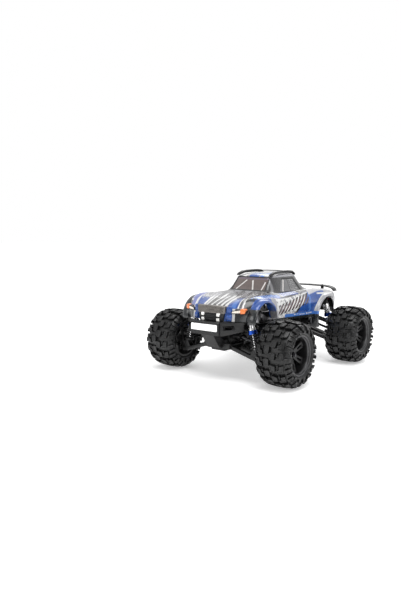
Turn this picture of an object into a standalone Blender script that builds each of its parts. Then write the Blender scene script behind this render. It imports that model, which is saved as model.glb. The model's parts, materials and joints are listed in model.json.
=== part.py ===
"""Four-wheel-drive radio-controlled monster truck of the small sixteenth-scale class.

World axes: the truck's nose points along -Y, its left side along +X, and +Z is up.
The origin is on the ground under the middle of the truck.
Shapes are drawn in millimetres and turned into metres when each part is placed.
"""

import math

import bmesh
import bpy
from mathutils import Matrix, Vector

MM = 0.001

# Running gear, in millimetres
HALF_TRACK = 88.0
HALF_BASE = 90.0
TYRE_RADIUS = 40.0
TYRE_HALF_WIDTH = 22.5
TYRE_SIDES = 20
BEAD_RADIUS = 22.8
RIM_OUTER = 22.5
RIM_INNER = 21.3
RIM_HALF_WIDTH = 19.2
FLANGE_RADIUS = 24.0
FLANGE_INSIDE = 18.0
SPOKES = 6

# Suspension: both arms and the half shaft are parallel and equally long
ARM_RUN = 45.0
ARM_DROP = 13.0
ARM_LENGTH = math.hypot(ARM_RUN, ARM_DROP)
ARM_TILT = math.atan2(ARM_DROP, ARM_RUN)
LOWER_PIVOT = (16.0, 42.0)
UPPER_PIVOT = (18.0, 66.0)
SHAFT_PIVOT = (27.0, 53.0)
KINGPIN_X = 72.0
HUB_HEIGHT = 40.0
PIN_RADIUS = 1.3
PIN_BORE = 1.65

# Dampers
SHOCK_OFFSET = 12.0
SHOCK_TOP = (43.2, 84.0)
SHOCK_EYE = (53.1, 40.0)
SHOCK_LENGTH = math.hypot(SHOCK_EYE[0] - SHOCK_TOP[0], SHOCK_TOP[1] - SHOCK_EYE[1])
SHOCK_TILT = math.atan2(SHOCK_EYE[0] - SHOCK_TOP[0], SHOCK_TOP[1] - SHOCK_EYE[1])
BARREL_END = 24.0
COIL_TURNS = 4
COIL_RADIUS = 4.6
WIRE_RADIUS = 0.65

# Steering
STEER_RADIUS = 12.0
CRANK_X = 11.0
CRANK_Y = -74.0
ROD_SWEEP = 16.0

# Chassis and drive line
PLATE_BOTTOM = 36.0
PLATE_TOP = 39.0
PLATE_HALF_WIDTH = 27.0
SHAFT_HEIGHT = 52.0
SPUR_TEETH = 24
PINION_TEETH = 8
GEAR_MODULE = 0.95
MOTOR_ANGLE = math.radians(153.4)
SPUR_Y = 50.5

# Body shell
SHELL_WALL = 1.5
FRONT_ARCH = (-84.0, 74.0, 24.0)
REAR_ARCH = (85.0, 62.5, 30.5)

# Each row: station along the truck, bow of the row, then (x, z) from the centre line to the sill
SHELL_STATIONS = (
    (-121.5, 10.0, ((0, 92.5), (14, 92.3), (25, 92.0), (33, 91.2), (39.5, 90.0), (43.3, 88.0),
                    (44.6, 85.0), (44.6, 80.5), (43.6, 76.2))),
    (-118.5, 9.0, ((0, 95.0), (14, 95.0), (26, 95.0), (34, 94.5), (40.5, 93.0), (45.0, 90.5),
                   (46.6, 86.5), (46.6, 80.5), (45.4, 75.5))),
    (-110.0, 6.0, ((0, 96.8), (14, 97.2), (26, 98.6), (35, 100.0), (42, 100.4), (48.3, 97.5),
                   (51.3, 92.0), (51.4, 83.5), (50.0, 74.5))),
    (-98.0, 3.0, ((0, 98.6), (14, 99.2), (26, 101.0), (35.5, 103.6), (43, 104.6), (49.6, 102.0),
                  (53.2, 96.0), (53.6, 86.0), (52.4, 73.5))),
    (-84.0, 0.0, ((0, 100.6), (14, 101.2), (26, 102.8), (36, 104.8), (44, 105.4), (50.4, 102.8),
                  (54.0, 96.5), (54.2, 86.0), (52.8, 73.0))),
    (-62.0, -2.0, ((0, 103.6), (14, 104.0), (26, 104.8), (36, 105.2), (44, 104.4), (49.4, 101.0),
                   (52.4, 94.0), (52.6, 84.0), (51.0, 73.0))),
    (-45.0, 4.0, ((0, 107.0), (14, 107.0), (27, 106.8), (37, 105.8), (44.4, 102.4), (48.8, 98.0),
                  (51.4, 91.5), (51.6, 82.0), (50.2, 72.0))),
    (-28.0, 4.0, ((0, 127.0), (14, 126.8), (27, 125.2), (38.4, 103.6), (44.8, 101.4), (49.4, 96.5),
                  (51.6, 90.0), (51.6, 81.0), (50.0, 71.0))),
    (-14.0, 2.0, ((0, 130.0), (14, 129.6), (28.2, 127.4), (39.4, 103.2), (45.2, 101.8), (49.8, 96.5),
                  (51.8, 89.5), (51.6, 80.0), (49.8, 70.0))),
    (12.0, 0.0, ((0, 130.6), (14, 130.2), (28.6, 128.0), (40.0, 104.0), (45.8, 103.0), (50.0, 97.5),
                 (52.0, 89.5), (51.6, 79.0), (49.6, 68.0))),
    (34.0, -2.0, ((0, 129.4), (14, 129.0), (27.4, 126.8), (40.2, 104.8), (46.0, 104.2), (50.2, 98.5),
                  (52.2, 90.0), (51.6, 78.5), (49.4, 66.6))),
    (50.0, 0.0, ((0, 105.6), (14, 105.6), (30, 105.4), (40.0, 105.4), (46.4, 105.2), (50.8, 99.5),
                 (52.8, 91.0), (52.0, 79.5), (50.2, 66.4))),
    (53.0, 0.0, ((0, 95.0), (14, 95.0), (36, 95.2), (39.6, 105.4), (46.6, 105.6), (51.0, 100.0),
                 (53.0, 91.5), (52.2, 80.0), (50.4, 66.6))),
    (68.0, 0.0, ((0, 95.0), (14, 95.0), (36, 95.2), (39.8, 105.0), (47.0, 105.4), (51.6, 101.0),
                 (54.6, 93.5), (54.6, 83.0), (53.0, 69.0))),
    (90.0, 0.0, ((0, 95.0), (14, 95.0), (36, 95.2), (39.8, 102.2), (47.0, 103.0), (52.2, 99.5),
                 (56.0, 93.5), (56.4, 84.0), (54.8, 71.0))),
    (112.0, 0.0, ((0, 95.0), (14, 95.0), (35.6, 95.2), (39.4, 98.4), (46.0, 99.0), (51.0, 96.5),
                  (53.8, 91.0), (53.8, 82.0), (52.0, 72.0))),
    (114.6, 0.0, ((0, 98.2), (14, 98.2), (35.6, 98.2), (39.6, 98.3), (45.8, 98.4), (50.4, 96.2),
                  (53.0, 90.8), (53.0, 82.0), (51.4, 72.4))),
    (122.0, -6.0, ((0, 95.6), (14, 95.6), (34, 95.4), (39, 95.0), (44.4, 94.0), (47.8, 91.6),
                   (49.6, 87.0), (49.6, 81.0), (48.4, 74.0))),
)


def clear_scene():
    for item in list(bpy.data.objects):
        bpy.data.objects.remove(item, do_unlink=True)


def material(name, colour, roughness, metallic=0.0):
    made = bpy.data.materials.new(name)
    made.use_nodes = True
    shader = made.node_tree.nodes["Principled BSDF"]
    shader.inputs["Base Color"].default_value = (*colour, 1.0)
    shader.inputs["Roughness"].default_value = roughness
    shader.inputs["Metallic"].default_value = metallic
    made.diffuse_color = (*colour, 1.0)
    return made


def to_object(bm):
    bmesh.ops.recalc_face_normals(bm, faces=bm.faces)
    mesh = bpy.data.meshes.new("shape")
    bm.to_mesh(mesh)
    bm.free()
    made = bpy.data.objects.new("shape", mesh)
    bpy.context.scene.collection.objects.link(made)
    return made


def box(x, y, z, bevel=0.0):
    """A block between the (low, high) pairs x, y and z."""
    bm = bmesh.new()
    bmesh.ops.create_cube(bm, size=1.0)
    for vertex in bm.verts:
        vertex.co.x = x[1] if vertex.co.x > 0 else x[0]
        vertex.co.y = y[1] if vertex.co.y > 0 else y[0]
        vertex.co.z = z[1] if vertex.co.z > 0 else z[0]
    if bevel:
        bmesh.ops.bevel(bm, geom=bm.edges[:], offset=bevel, segments=1, affect="EDGES")
    return to_object(bm)


def bar(start, end, radius, sides=10, end_radius=None):
    """A round bar between two points, tapered when end_radius is given."""
    start = Vector(start)
    end = Vector(end)
    run = end - start
    bm = bmesh.new()
    bmesh.ops.create_cone(
        bm, cap_ends=True, segments=sides, radius1=radius,
        radius2=radius if end_radius is None else end_radius, depth=run.length)
    turn = Vector((0, 0, 1)).rotation_difference(run.normalized()).to_matrix().to_4x4()
    bmesh.ops.transform(bm, matrix=Matrix.Translation((start + end) / 2) @ turn, verts=bm.verts)
    return to_object(bm)


def prism(outline, axis, low, high):
    """A closed outline drawn across the given axis and extruded from low to high."""
    order = {"X": (2, 0, 1), "Y": (0, 2, 1), "Z": (0, 1, 2)}[axis]
    bm = bmesh.new()
    corners = []
    for first, second in outline:
        values = (first, second, low)
        corners.append(bm.verts.new([values[index] for index in order]))
    face = bm.faces.new(corners)
    grown = bmesh.ops.extrude_face_region(bm, geom=[face])
    moved = [item for item in grown["geom"] if isinstance(item, bmesh.types.BMVert)]
    step = Vector([(0, 0, high - low)[index] for index in order])
    bmesh.ops.translate(bm, verts=moved, vec=step)
    return to_object(bm)


def turned(profile, sides, axis="X", phase=0.0):
    """A closed (along, radius) profile turned about the axis through the origin."""
    bm = bmesh.new()
    rings = []
    for step in range(sides):
        angle = phase + 2 * math.pi * step / sides
        ring = []
        for along, radius in profile:
            across = (radius * math.cos(angle), radius * math.sin(angle))
            point = (along, *across) if axis == "X" else (*across, along)
            ring.append(bm.verts.new(point))
        rings.append(ring)
    count = len(profile)
    for step in range(sides):
        this, following = rings[step], rings[(step + 1) % sides]
        for index in range(count):
            after = (index + 1) % count
            bm.faces.new((this[index], this[after], following[after], following[index]))
    return to_object(bm)


def combine(base, tool, operation):
    modifier = base.modifiers.new("Combine", "BOOLEAN")
    modifier.object = tool
    modifier.operation = operation
    modifier.solver = "EXACT"
    graph = bpy.context.evaluated_depsgraph_get()
    result = bpy.data.meshes.new_from_object(base.evaluated_get(graph))
    base.modifiers.clear()
    base.data = result
    bpy.data.objects.remove(tool, do_unlink=True)


def join(base, *parts):
    for part in parts:
        combine(base, part, "UNION")
    return base


def cut(base, *tools):
    for tool in tools:
        combine(base, tool, "DIFFERENCE")
    return base


def largest_piece(part):
    """Drop the loose slivers that cutting can leave, keeping the biggest connected piece."""
    bm = bmesh.new()
    bm.from_mesh(part.data)
    waiting = set(bm.verts)
    pieces = []
    while waiting:
        front = [waiting.pop()]
        piece = list(front)
        while front:
            reached = front.pop()
            for edge in reached.link_edges:
                other = edge.other_vert(reached)
                if other in waiting:
                    waiting.remove(other)
                    front.append(other)
                    piece.append(other)
        pieces.append(piece)
    pieces.sort(key=len)
    for piece in pieces[:-1]:
        bmesh.ops.delete(bm, geom=piece, context="VERTS")
    bm.to_mesh(part.data)
    bm.free()
    return part


def place(part, name, pivot, look, tilt=0.0, parent=None, world=False):
    """Name a part and put its origin on its pivot; world parts were drawn where they stand."""
    if world:
        part.data.transform(Matrix.Translation(-Vector(pivot)))
    part.data.transform(Matrix.Scale(MM, 4))
    part.data.name = name
    part.name = name
    part.data.materials.clear()
    part.data.materials.append(look)
    part.data.shade_smooth()
    part.data.set_sharp_from_angle(angle=math.radians(32))
    part.rotation_euler = (0.0, tilt, 0.0)
    part.location = Vector(pivot) * MM
    if parent is not None:
        part.parent = parent
        part.matrix_parent_inverse = parent_matrix(parent).inverted()
    return part


def parent_matrix(item):
    own = Matrix.Translation(item.location) @ item.rotation_euler.to_matrix().to_4x4()
    if item.parent is None:
        return own
    return parent_matrix(item.parent) @ item.matrix_parent_inverse @ own


def copied(part, side, end):
    """A copy of a left front part, mirrored to side +1 or -1 and end -1 (front) or +1 (rear)."""
    mesh = part.data.copy()
    mesh.transform(Matrix.Diagonal((side, -end, 1, 1)))
    if side * -end < 0:
        mesh.flip_normals()
    made = bpy.data.objects.new("shape", mesh)
    bpy.context.scene.collection.objects.link(made)
    return made


def lower_arm():
    """Wide lower arm lying along +X, with its inner barrel on the Y axis."""
    front, rear = -17.0, 10.2
    plate = prism(
        ((0.5, front), (31, -16.9), (41.2, -16.9), (42.5, -8.6), (ARM_LENGTH, -8.6),
         (ARM_LENGTH, 8.6), (40, 8.6), (14, rear), (0.5, rear)), "Z", -2.2, 2.2)
    window = prism(((10, -12.0), (28.5, -12.0), (28.5, -5), (33.5, 4.0), (10, 5.5)), "Z", -6, 6)
    plate = cut(plate, window)
    rib = box((8.5, 35), (-4.6, -2.4), (-2.2, 3.4))
    inner = bar((0, front, 0), (0, rear, 0), 3.4)
    outer = bar((ARM_LENGTH, -8.6, 0), (ARM_LENGTH, 8.6, 0), 3.5)
    lugs = [prism(((32, -1), (42, -1), (40.6, 9.8), (38.8, 11.4), (35.6, 11.4), (33.8, 9.8)),
                  "Y", low, low + 2.0) for low in (-SHOCK_OFFSET - 4.6, -SHOCK_OFFSET + 2.6)]
    arm = join(plate, rib, inner, outer, *lugs)
    gap = box((ARM_LENGTH - 5.2, ARM_LENGTH + 5), (-4.4, 4.4), (-6, 6))
    bores = [bar((along, -25, 0), (along, 25, 0), PIN_BORE, 8) for along in (0, ARM_LENGTH)]
    arm = cut(arm, gap, *bores)
    eye_x, eye_z = shock_eye_on_arm()
    eye_pin = bar((eye_x, -SHOCK_OFFSET - 3.6, eye_z), (eye_x, -SHOCK_OFFSET + 3.6, eye_z), PIN_RADIUS, 8)
    return join(arm, eye_pin)


def shock_eye_on_arm():
    run = SHOCK_EYE[0] - LOWER_PIVOT[0]
    rise = SHOCK_EYE[1] - LOWER_PIVOT[1]
    along = run * math.cos(ARM_TILT) - rise * math.sin(ARM_TILT)
    above = run * math.sin(ARM_TILT) + rise * math.cos(ARM_TILT)
    return along, above


def upper_arm():
    front, rear = -1.0, 10.0
    plate = prism(((0.5, front), (38, -4.4), (41.5, -7.2), (ARM_LENGTH, -7.2), (ARM_LENGTH, 7.2),
                   (40, 7.2), (0.5, rear)), "Z", -1.6, 1.6)
    plate = cut(plate, prism(((9, 2.5), (32, -2.0), (32, 4.2), (9, 6.6)), "Z", -6, 6))
    inner = bar((0, front, 0), (0, rear, 0), 3.0)
    outer = bar((ARM_LENGTH, -7.2, 0), (ARM_LENGTH, 7.2, 0), 3.0)
    arm = join(plate, inner, outer)
    gap = box((ARM_LENGTH - 4.6, ARM_LENGTH + 5), (-4.4, 4.4), (-6, 6))
    bores = [bar((along, -15, 0), (along, 15, 0), PIN_BORE, 8) for along in (0, ARM_LENGTH)]
    return cut(arm, gap, *bores)


def hinge_tabs(web_inside):
    """The two barrels and pins that carry an upright between the ends of its arms."""
    lower = bar((0, -4.0, 0), (0, 4.0, 0), 3.4)
    upper = bar((2, -4.0, 24), (2, 4.0, 24), 3.0)
    pins = [bar((0, -8.4, 0), (0, 8.4, 0), PIN_RADIUS, 8),
            bar((2, -7.2, 24), (2, 7.2, 24), PIN_RADIUS, 8)]
    necks = [box((0.2, web_inside + 0.8), (-3.6, 3.6), (-2.4, 2.4)),
             box((2.2, web_inside + 0.8), (-3.6, 3.6), (21.8, 26.2))]
    return [lower, upper, *pins, *necks]


def front_upright():
    """C-shaped carrier; its origin is on the lower outer arm pin, 11 mm inside the king pin."""
    web = box((5.4, 7.4), (-8.4, 8.4), (-3.4, 27.6))
    lugs = [box((5.8, 14.6), (-4.6, 4.6), (-3.2, -0.1)), box((5.8, 14.6), (-4.6, 4.6), (24.2, 27.4))]
    pins = [bar((11, 0, -1.5), (11, 0, 2.9), 1.6, 8), bar((11, 0, 20.9), (11, 0, 26), 1.6, 8)]
    upright = join(web, *hinge_tabs(5.4), *lugs, *pins)
    arm_clearance = box((3, 10), (4.4, 12), (10.8, 20.8))
    return cut(upright, bar((3, 0, 12.0), (9, 0, 12.0), 6.8, 20), arm_clearance)


def rear_upright():
    """Rear hub carrier; its origin is on the lower outer arm pin."""
    web = box((5.4, 8.0), (-8.4, 8.4), (-3.4, 27.6))
    barrel = join(bar((5.6, 0, 11), (11.4, 0, 11), 8.2, 16), bar((10.8, 0, 11), (20, 0, 11), 6.4, 16))
    upright = join(web, *hinge_tabs(5.4), barrel)
    mouth = bar((3, 0, 11.6), (8.6, 0, 11.6), 6.2, 14)
    return cut(upright, mouth, bar((6, 0, 11), (25, 0, 11), 3.2, 10))


def knuckle():
    """Steering knuckle; its origin is on the king pin at hub height."""
    post = bar((0, 0, -10.5), (0, 0, 12.5), 3.35, 12)
    block = box((-1.9, 4.4), (-3.6, 3.6), (-10.5, 12.5), 0.6)
    barrel = bar((-1.4, 0, 0), (9, 0, 0), 6.4, 16)
    arm = prism(((-2.4, 2.0), (2.4, 2.0), (2.4, 13.2), (1.2, 14.8), (-1.2, 14.8), (-2.4, 13.2)),
                "Z", 1.6, 4.2)
    stud = bar((0, STEER_RADIUS, 3), (0, STEER_RADIUS, 9.4), PIN_RADIUS, 8)
    made = join(block, post, barrel, arm, stud)
    return cut(made, bar((-5, 0, 0), (12, 0, 0), 3.2, 10),
               bar((0, 0, -12), (0, 0, -7.2), 2.1, 8), bar((0, 0, 8.6), (0, 0, 14), 2.1, 8))


def half_shaft():
    shaft = bar((1, 0, 0), (40.5, 0, 0), 1.9, 8)
    inner = bar((-1.6, 0, 0), (5, 0, 0), 4.2, 10, 3.0)
    outer = bar((36, 0, 0), (41.4, 0, 0), 2.8, 10, 4.2)
    return join(shaft, inner, outer)


def rim():
    """Wheel turned about X: barrel, bead flanges, six spokes, hub and stub axle."""
    edge, inside = RIM_HALF_WIDTH, FLANGE_INSIDE
    barrel = turned(
        ((-edge, FLANGE_RADIUS), (-inside, FLANGE_RADIUS), (-inside, RIM_OUTER), (inside, RIM_OUTER),
         (inside, FLANGE_RADIUS), (edge, FLANGE_RADIUS), (edge, 22.6), (16.5, RIM_INNER),
         (-edge, RIM_INNER)), TYRE_SIDES, phase=math.pi / TYRE_SIDES)
    hub = bar((-4.6, 0, 0), (9.0, 0, 0), 6.2, 10)
    axle = bar((-15.0, 0, 0), (13.0, 0, 0), 2.7, 8)
    wheel = join(hub, axle)
    for step in range(SPOKES):
        spoke = prism(((3.2, 3.0), (8.6, 3.0), (12.4, 21.9), (7.4, 21.9)), "Y", -2.7, 2.7)
        spoke.data.transform(Matrix.Rotation(2 * math.pi * step / SPOKES, 4, "X"))
        wheel = join(wheel, spoke)
    return join(barrel, wheel)


def tyre():
    """Solid tyre carcass turned about X, flat side down so that the truck stands on its tread."""
    half = TYRE_HALF_WIDTH
    true = 1.0 / math.cos(math.pi / TYRE_SIDES)
    profile = [(-17.6, BEAD_RADIUS), (-17.6, 24.8), (-half, 30.8), (-21.6, 36.8),
               (-15.0, TYRE_RADIUS), (15.0, TYRE_RADIUS), (21.6, 36.8), (half, 30.8),
               (17.6, 24.8), (17.6, BEAD_RADIUS)]
    return turned([(along, radius * true) for along, radius in profile], TYRE_SIDES,
                  phase=math.pi / TYRE_SIDES)


def shock_body():
    """Damper barrel hanging along -Z from its top eye."""
    eye = bar((0, -2.4, 0), (0, 2.4, 0), 3.5, 10)
    cap = bar((0, 0, -2.0), (0, 0, -6.0), 4.4, 10)
    barrel = bar((0, 0, -5.0), (0, 0, -BARREL_END + 0.4), 4.2, 10)
    collar = bar((0, 0, -19.6), (0, 0, -BARREL_END), 5.5, 10)
    made = join(barrel, cap, collar, eye)
    return cut(made, bar((0, -5, 0), (0, 5, 0), 1.9, 8),
               bar((0, 0, -9.5), (0, 0, -BARREL_END - 2), 1.7, 8))


def shock_rod():
    """Damper rod drawn from its lower eye upwards, with the spring cup."""
    eye = bar((0, -2.0, 0), (0, 2.0, 0), 3.1, 10)
    rod = bar((0, 0, 1.0), (0, 0, SHOCK_LENGTH - 21.0), 1.2, 8)
    cup = bar((0, 0, 3.4), (0, 0, 4.7), 5.5, 10)
    return cut(join(eye, rod, cup), bar((0, -5, 0), (0, 5, 0), 1.9, 8))


def coil():
    """Coil spring around Z from the cup on the rod to the collar on the barrel."""
    low = -(SHOCK_LENGTH - 5.0) + WIRE_RADIUS
    high = -(BARREL_END + 0.35) - WIRE_RADIUS
    steps = COIL_TURNS * 9
    bm = bmesh.new()
    rings = []
    for step in range(steps + 1):
        share = step / steps
        angle = 2 * math.pi * COIL_TURNS * share
        outward = Vector((math.cos(angle), math.sin(angle), 0))
        centre = outward * COIL_RADIUS + Vector((0, 0, low + (high - low) * share))
        ring = []
        for corner in range(4):
            turn = 2 * math.pi * corner / 4
            offset = outward * math.cos(turn) + Vector((0, 0, 1)) * math.sin(turn)
            ring.append(bm.verts.new(centre + offset * WIRE_RADIUS))
        rings.append(ring)
    for this, following in zip(rings, rings[1:]):
        for corner in range(4):
            after = (corner + 1) % 4
            bm.faces.new((this[corner], this[after], following[after], following[corner]))
    bm.faces.new(rings[0])
    bm.faces.new(reversed(rings[-1]))
    return to_object(bm)


def gearbox():
    """Front gear case in place; the rear one is its mirror image."""
    case = box((-11, 11), (-108, -77.6), (39.3, 50.5), 0.8)
    drum = bar((-12.3, -HALF_BASE, 53), (12.3, -HALF_BASE, 53), 11, 18)
    cups = bar((-23.5, -HALF_BASE, 53), (23.5, -HALF_BASE, 53), 4.4, 10)
    top = box((-11, 11), (-94.4, -79.2), (56, 72), 0.8)
    lower_lugs = [box((-20, 20), (-111.2, -107.4), (39.3, 46.2)),
                  box((-20, 20), (-79.4, -77.2), (39.3, 46.2))]
    upper_lugs = [box((-20.3, 20.3), (-94.6, -91.5), (62.4, 69.6)),
                  box((-20.3, 20.3), (-79.6, -77.4), (62.4, 69.6))]
    boss = bar((0, -82, SHAFT_HEIGHT), (0, -76.4, SHAFT_HEIGHT), 4.2, 10)
    pins = []
    for side in (-1, 1):
        pins.append(bar((side * 16, -110, 42), (side * 16, -78, 42), PIN_RADIUS, 8))
        pins.append(bar((side * 18, -93.5, 66), (side * 18, -78.2, 66), PIN_RADIUS, 8))
    return join(case, drum, cups, top, *lower_lugs, *upper_lugs, boss, *pins)


def shock_tower(post_top):
    """Front tower in place, standing on the drum of the gear case, with studs and body posts."""
    half = [(0, 64.4), (12, 64.4), (17, 72), (40, 79.4), (48, 79.4), (49.4, 84), (48, 88.4),
            (40, 88.4), (22, 84), (14, 88.0), (0, 88.0)]
    outline = half + [(-x, z) for x, z in reversed(half[1:-1])]
    tower = prism(outline, "Y", -97.2, -94.8)
    for side in (-1, 1):
        window = ((side * 20, 75.6), (side * 36, 80.6), (side * 36, 84.4), (side * 22, 80.2))
        tower = cut(tower, prism(window, "Y", -100, -92))
    for side in (-1, 1):
        stud_x, stud_z = side * SHOCK_TOP[0], SHOCK_TOP[1]
        stud = bar((stud_x, -96, stud_z), (stud_x, -105.6, stud_z), 1.5, 8)
        foot = box((side * 16 - 3, side * 16 + 3), (-98.0, -92.6), (83, 87))
        post = bar((side * 16, -95.4, 84), (side * 16, -95.4, post_top), 2.3, 8)
        tower = join(tower, stud, foot, post)
    return tower


def chassis_plate():
    half = [(0, -108), (10.5, -108), (10.5, -80), (PLATE_HALF_WIDTH - 6, -72), (PLATE_HALF_WIDTH, -60)]
    quarter = half + [(x, -y) for x, y in reversed(half)]
    outline = quarter + [(-x, y) for x, y in reversed(quarter[1:-1])]
    plate = prism(outline, "Z", PLATE_BOTTOM, PLATE_TOP)
    for side in (-1, 1):
        low, high = sorted((side * (PLATE_HALF_WIDTH - 0.6), side * (PLATE_HALF_WIDTH + 2.6)))
        wall = prism(((low if side > 0 else high, PLATE_BOTTOM + 0.4),
                      (side * (PLATE_HALF_WIDTH + 1.2), PLATE_BOTTOM + 0.4),
                      (side * (PLATE_HALF_WIDTH + 2.6), 46), (side * (PLATE_HALF_WIDTH + 0.8), 46),
                      (side * (PLATE_HALF_WIDTH - 0.6), PLATE_TOP + 1)), "Y", -58, 58)
        plate = join(plate, wall)
    post = bar((-CRANK_X, CRANK_Y, PLATE_TOP - 1), (-CRANK_X, CRANK_Y, 64.0), 2.7, 10)
    return join(plate, post)


def mirrored_band(outer, inner):
    """Outline of a bent strip given the left half of its outer and inner edges."""
    left_inner = [(-x, across) for x, across in reversed(inner[:-1])]
    left_outer = [(-x, across) for x, across in reversed(outer[1:])]
    return outer + inner + left_inner + left_outer


def bumper():
    """Front bumper: centre face with lips around the lamp, swept wings and a sloping brace."""
    outer = [(0, -133.8), (21, -132.8), (34, -125.6), (43.6, -114.6)]
    inner = [(41.0, -112.6), (32, -122.6), (19.8, -129.4), (0, -130.4)]
    face = prism(mirrored_band(outer, inner), "Z", 59.4, 75.8)
    for side in (-1, 1):
        rise = ((side * 21, 58), (side * 50, 58), (side * 50, 65.2), (side * 42, 64.4), (side * 25, 59.6))
        face = cut(face, prism(rise, "Y", -140, -105))
    lips = [box((-21.6, 21.6), (-136.4, -132), (73.5, 75.8), 0.5),
            box((-21.6, 21.6), (-136.0, -132), (59.6, 64.5), 0.5)]
    cheeks = [box(pair, (-135.6, -131.6), (61, 75)) for pair in ((-21.6, -19.9), (19.9, 21.6))]
    side_view = ((-131.6, 60.4), (-131.6, 68), (-126, 66), (-111.5, 52), (-111.5, 40.4), (-117, 40.4))
    brace = prism(side_view, "X", -9.5, 9.5)
    return join(face, *lips, *cheeks, brace)


def rear_guard():
    outer = [(0, 138.0), (30, 136.4), (43, 130.2), (48, 122.5)]
    inner = [(44.8, 121.0), (40.6, 127.2), (29, 132.6), (0, 134.0)]
    guard = prism(mirrored_band(outer, inner), "Z", 65.0, 73.2)
    side_view = ((111.5, 40.4), (111.5, 52), (128, 72), (134.4, 72), (134.4, 65.6), (117, 40.4))
    low = prism(side_view, "X", -9.5, 9.5)
    return join(guard, low)


def light_bar():
    return box((-19.5, 19.5), (-138.0, -134.1), (65.0, 73.0), 0.8)


def shell_ring(station):
    along, bow, half = station
    ring = []
    for x, z in half:
        ring.append(Vector((x, along + bow * (x / 45.0) ** 2, z)))
    return [Vector((-p.x, p.y, p.z)) for p in reversed(ring[1:])] + ring


def body_shell():
    """Thin shell lofted through its stations, closed at nose and tail, open below, with wheel arches."""
    rings = [shell_ring(station) for station in SHELL_STATIONS]
    for index, low in ((0, 76.2), (-1, 74.0)):
        edge = [Vector((p.x * 0.985, p.y + (1.6 if index else -1.6) * (0 if abs(p.x) > 40 else 1), low))
                for p in rings[index]]
        rings.insert(0 if index == 0 else len(rings), edge)
    bm = bmesh.new()
    rows = [[bm.verts.new(p) for p in ring] for ring in rings]
    for this, following in zip(rows, rows[1:]):
        for index in range(len(this) - 1):
            bm.faces.new((this[index], following[index], following[index + 1], this[index + 1]))
    bmesh.ops.remove_doubles(bm, verts=bm.verts, dist=1.2)
    bmesh.ops.dissolve_degenerate(bm, dist=0.05, edges=bm.edges)
    bmesh.ops.recalc_face_normals(bm, faces=bm.faces)
    crown = max(bm.faces, key=lambda face: face.calc_center_median().z)
    if crown.normal.z < 0:
        bmesh.ops.reverse_faces(bm, faces=bm.faces)
    mesh = bpy.data.meshes.new("shape")
    bm.to_mesh(mesh)
    bm.free()
    shell = bpy.data.objects.new("shape", mesh)
    bpy.context.scene.collection.objects.link(shell)
    wall = shell.modifiers.new("Wall", "SOLIDIFY")
    wall.thickness = SHELL_WALL
    wall.offset = -1.0
    wall.use_even_offset = True
    graph = bpy.context.evaluated_depsgraph_get()
    solid = bpy.data.meshes.new_from_object(shell.evaluated_get(graph))
    shell.modifiers.clear()
    shell.data = solid
    for y, z, radius in (FRONT_ARCH, REAR_ARCH):
        for side in (-1, 1):
            flare = bar((side * 49, y, z), (side * 57.6, y, z), radius + 4.2, 28)
            low = box((-70, 70), (y - 45, y + 45), (z - 60, 74.5 if y < 0 else 73.0))
            flare = cut(flare, bar((side * 40, y, z), (side * 70, y, z), radius, 28), low)
            shell = join(shell, flare)
        shell = cut(shell, bar((-70, y, z), (-36, y, z), radius, 28), bar((36, y, z), (70, y, z), radius, 28))
    return largest_piece(shell)


def roof_skid():
    """Two roof rails tied by a strap over the rear edge of the roof."""
    side_view = ((-29.5, 126.6), (-26, 129.4), (-17, 132.0), (12, 132.8), (30, 131.6), (36.4, 127.6),
                 (37.4, 125.6), (35.4, 125.6), (33.8, 128.3), (12, 129.0), (-14, 128.9), (-27.4, 126.0))
    rails = [prism(side_view, "X", low, low + 4.4) for low in (-28.0, 23.6)]
    strap = prism(((-27, 129.6), (-14, 130.2), (14, 130.2), (27, 129.6), (27, 131.0), (14, 131.5),
                   (-14, 131.5), (-27, 131.0)), "Y", 29.0, 32.0)
    return join(rails[0], strap, rails[1])


def rear_spoiler():
    top = [(0, 106.2), (30, 105.8), (42, 104.4), (48.6, 100.8), (50.4, 97.4)]
    under = [(48.8, 97.2), (47.4, 99.4), (41.4, 102.5), (30, 103.9), (0, 104.3)]
    blade = prism(mirrored_band(top, under), "Y", 115.4, 127.0)
    feet = [box((x - 2, x + 2), (116.4, 119.4), (98.9, 104.6)) for x in (-30, 30)]
    return join(blade, *feet)


def gear(teeth, phase, low, high):
    """Spur gear about Y with tapered teeth; phase puts a tooth on the X axis turned towards Z."""
    pitch = teeth * GEAR_MODULE / 2
    root, tip = pitch - 1.2 * GEAR_MODULE, pitch + 0.85 * GEAR_MODULE
    step = 2 * math.pi / teeth
    outline = []
    for tooth in range(teeth):
        middle = phase + tooth * step
        for radius, offset in ((root, -0.29), (tip, -0.10), (tip, 0.10), (root, 0.29)):
            angle = middle + offset * step
            outline.append((radius * math.cos(angle), radius * math.sin(angle)))
    return prism(outline, "Y", low, high)


def spur_and_shaft():
    """Centre drive shaft with the spur gear; its origin is on the shaft at the truck's middle."""
    shaft = bar((0, -75.8, 0), (0, 75.8, 0), 2.2, 8)
    ends = [bar((0, -75.8, 0), (0, -69, 0), 3.3, 8), bar((0, 69, 0), (0, 75.8, 0), 3.3, 8)]
    phase = MOTOR_ANGLE + math.pi / SPUR_TEETH
    return join(shaft, *ends, gear(SPUR_TEETH, phase, SPUR_Y - 2.2, SPUR_Y + 2.2))


def motor_axis():
    spacing = (SPUR_TEETH + PINION_TEETH) * GEAR_MODULE / 2 + 0.15
    return spacing * math.cos(MOTOR_ANGLE), SHAFT_HEIGHT + spacing * math.sin(MOTOR_ANGLE)


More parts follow.
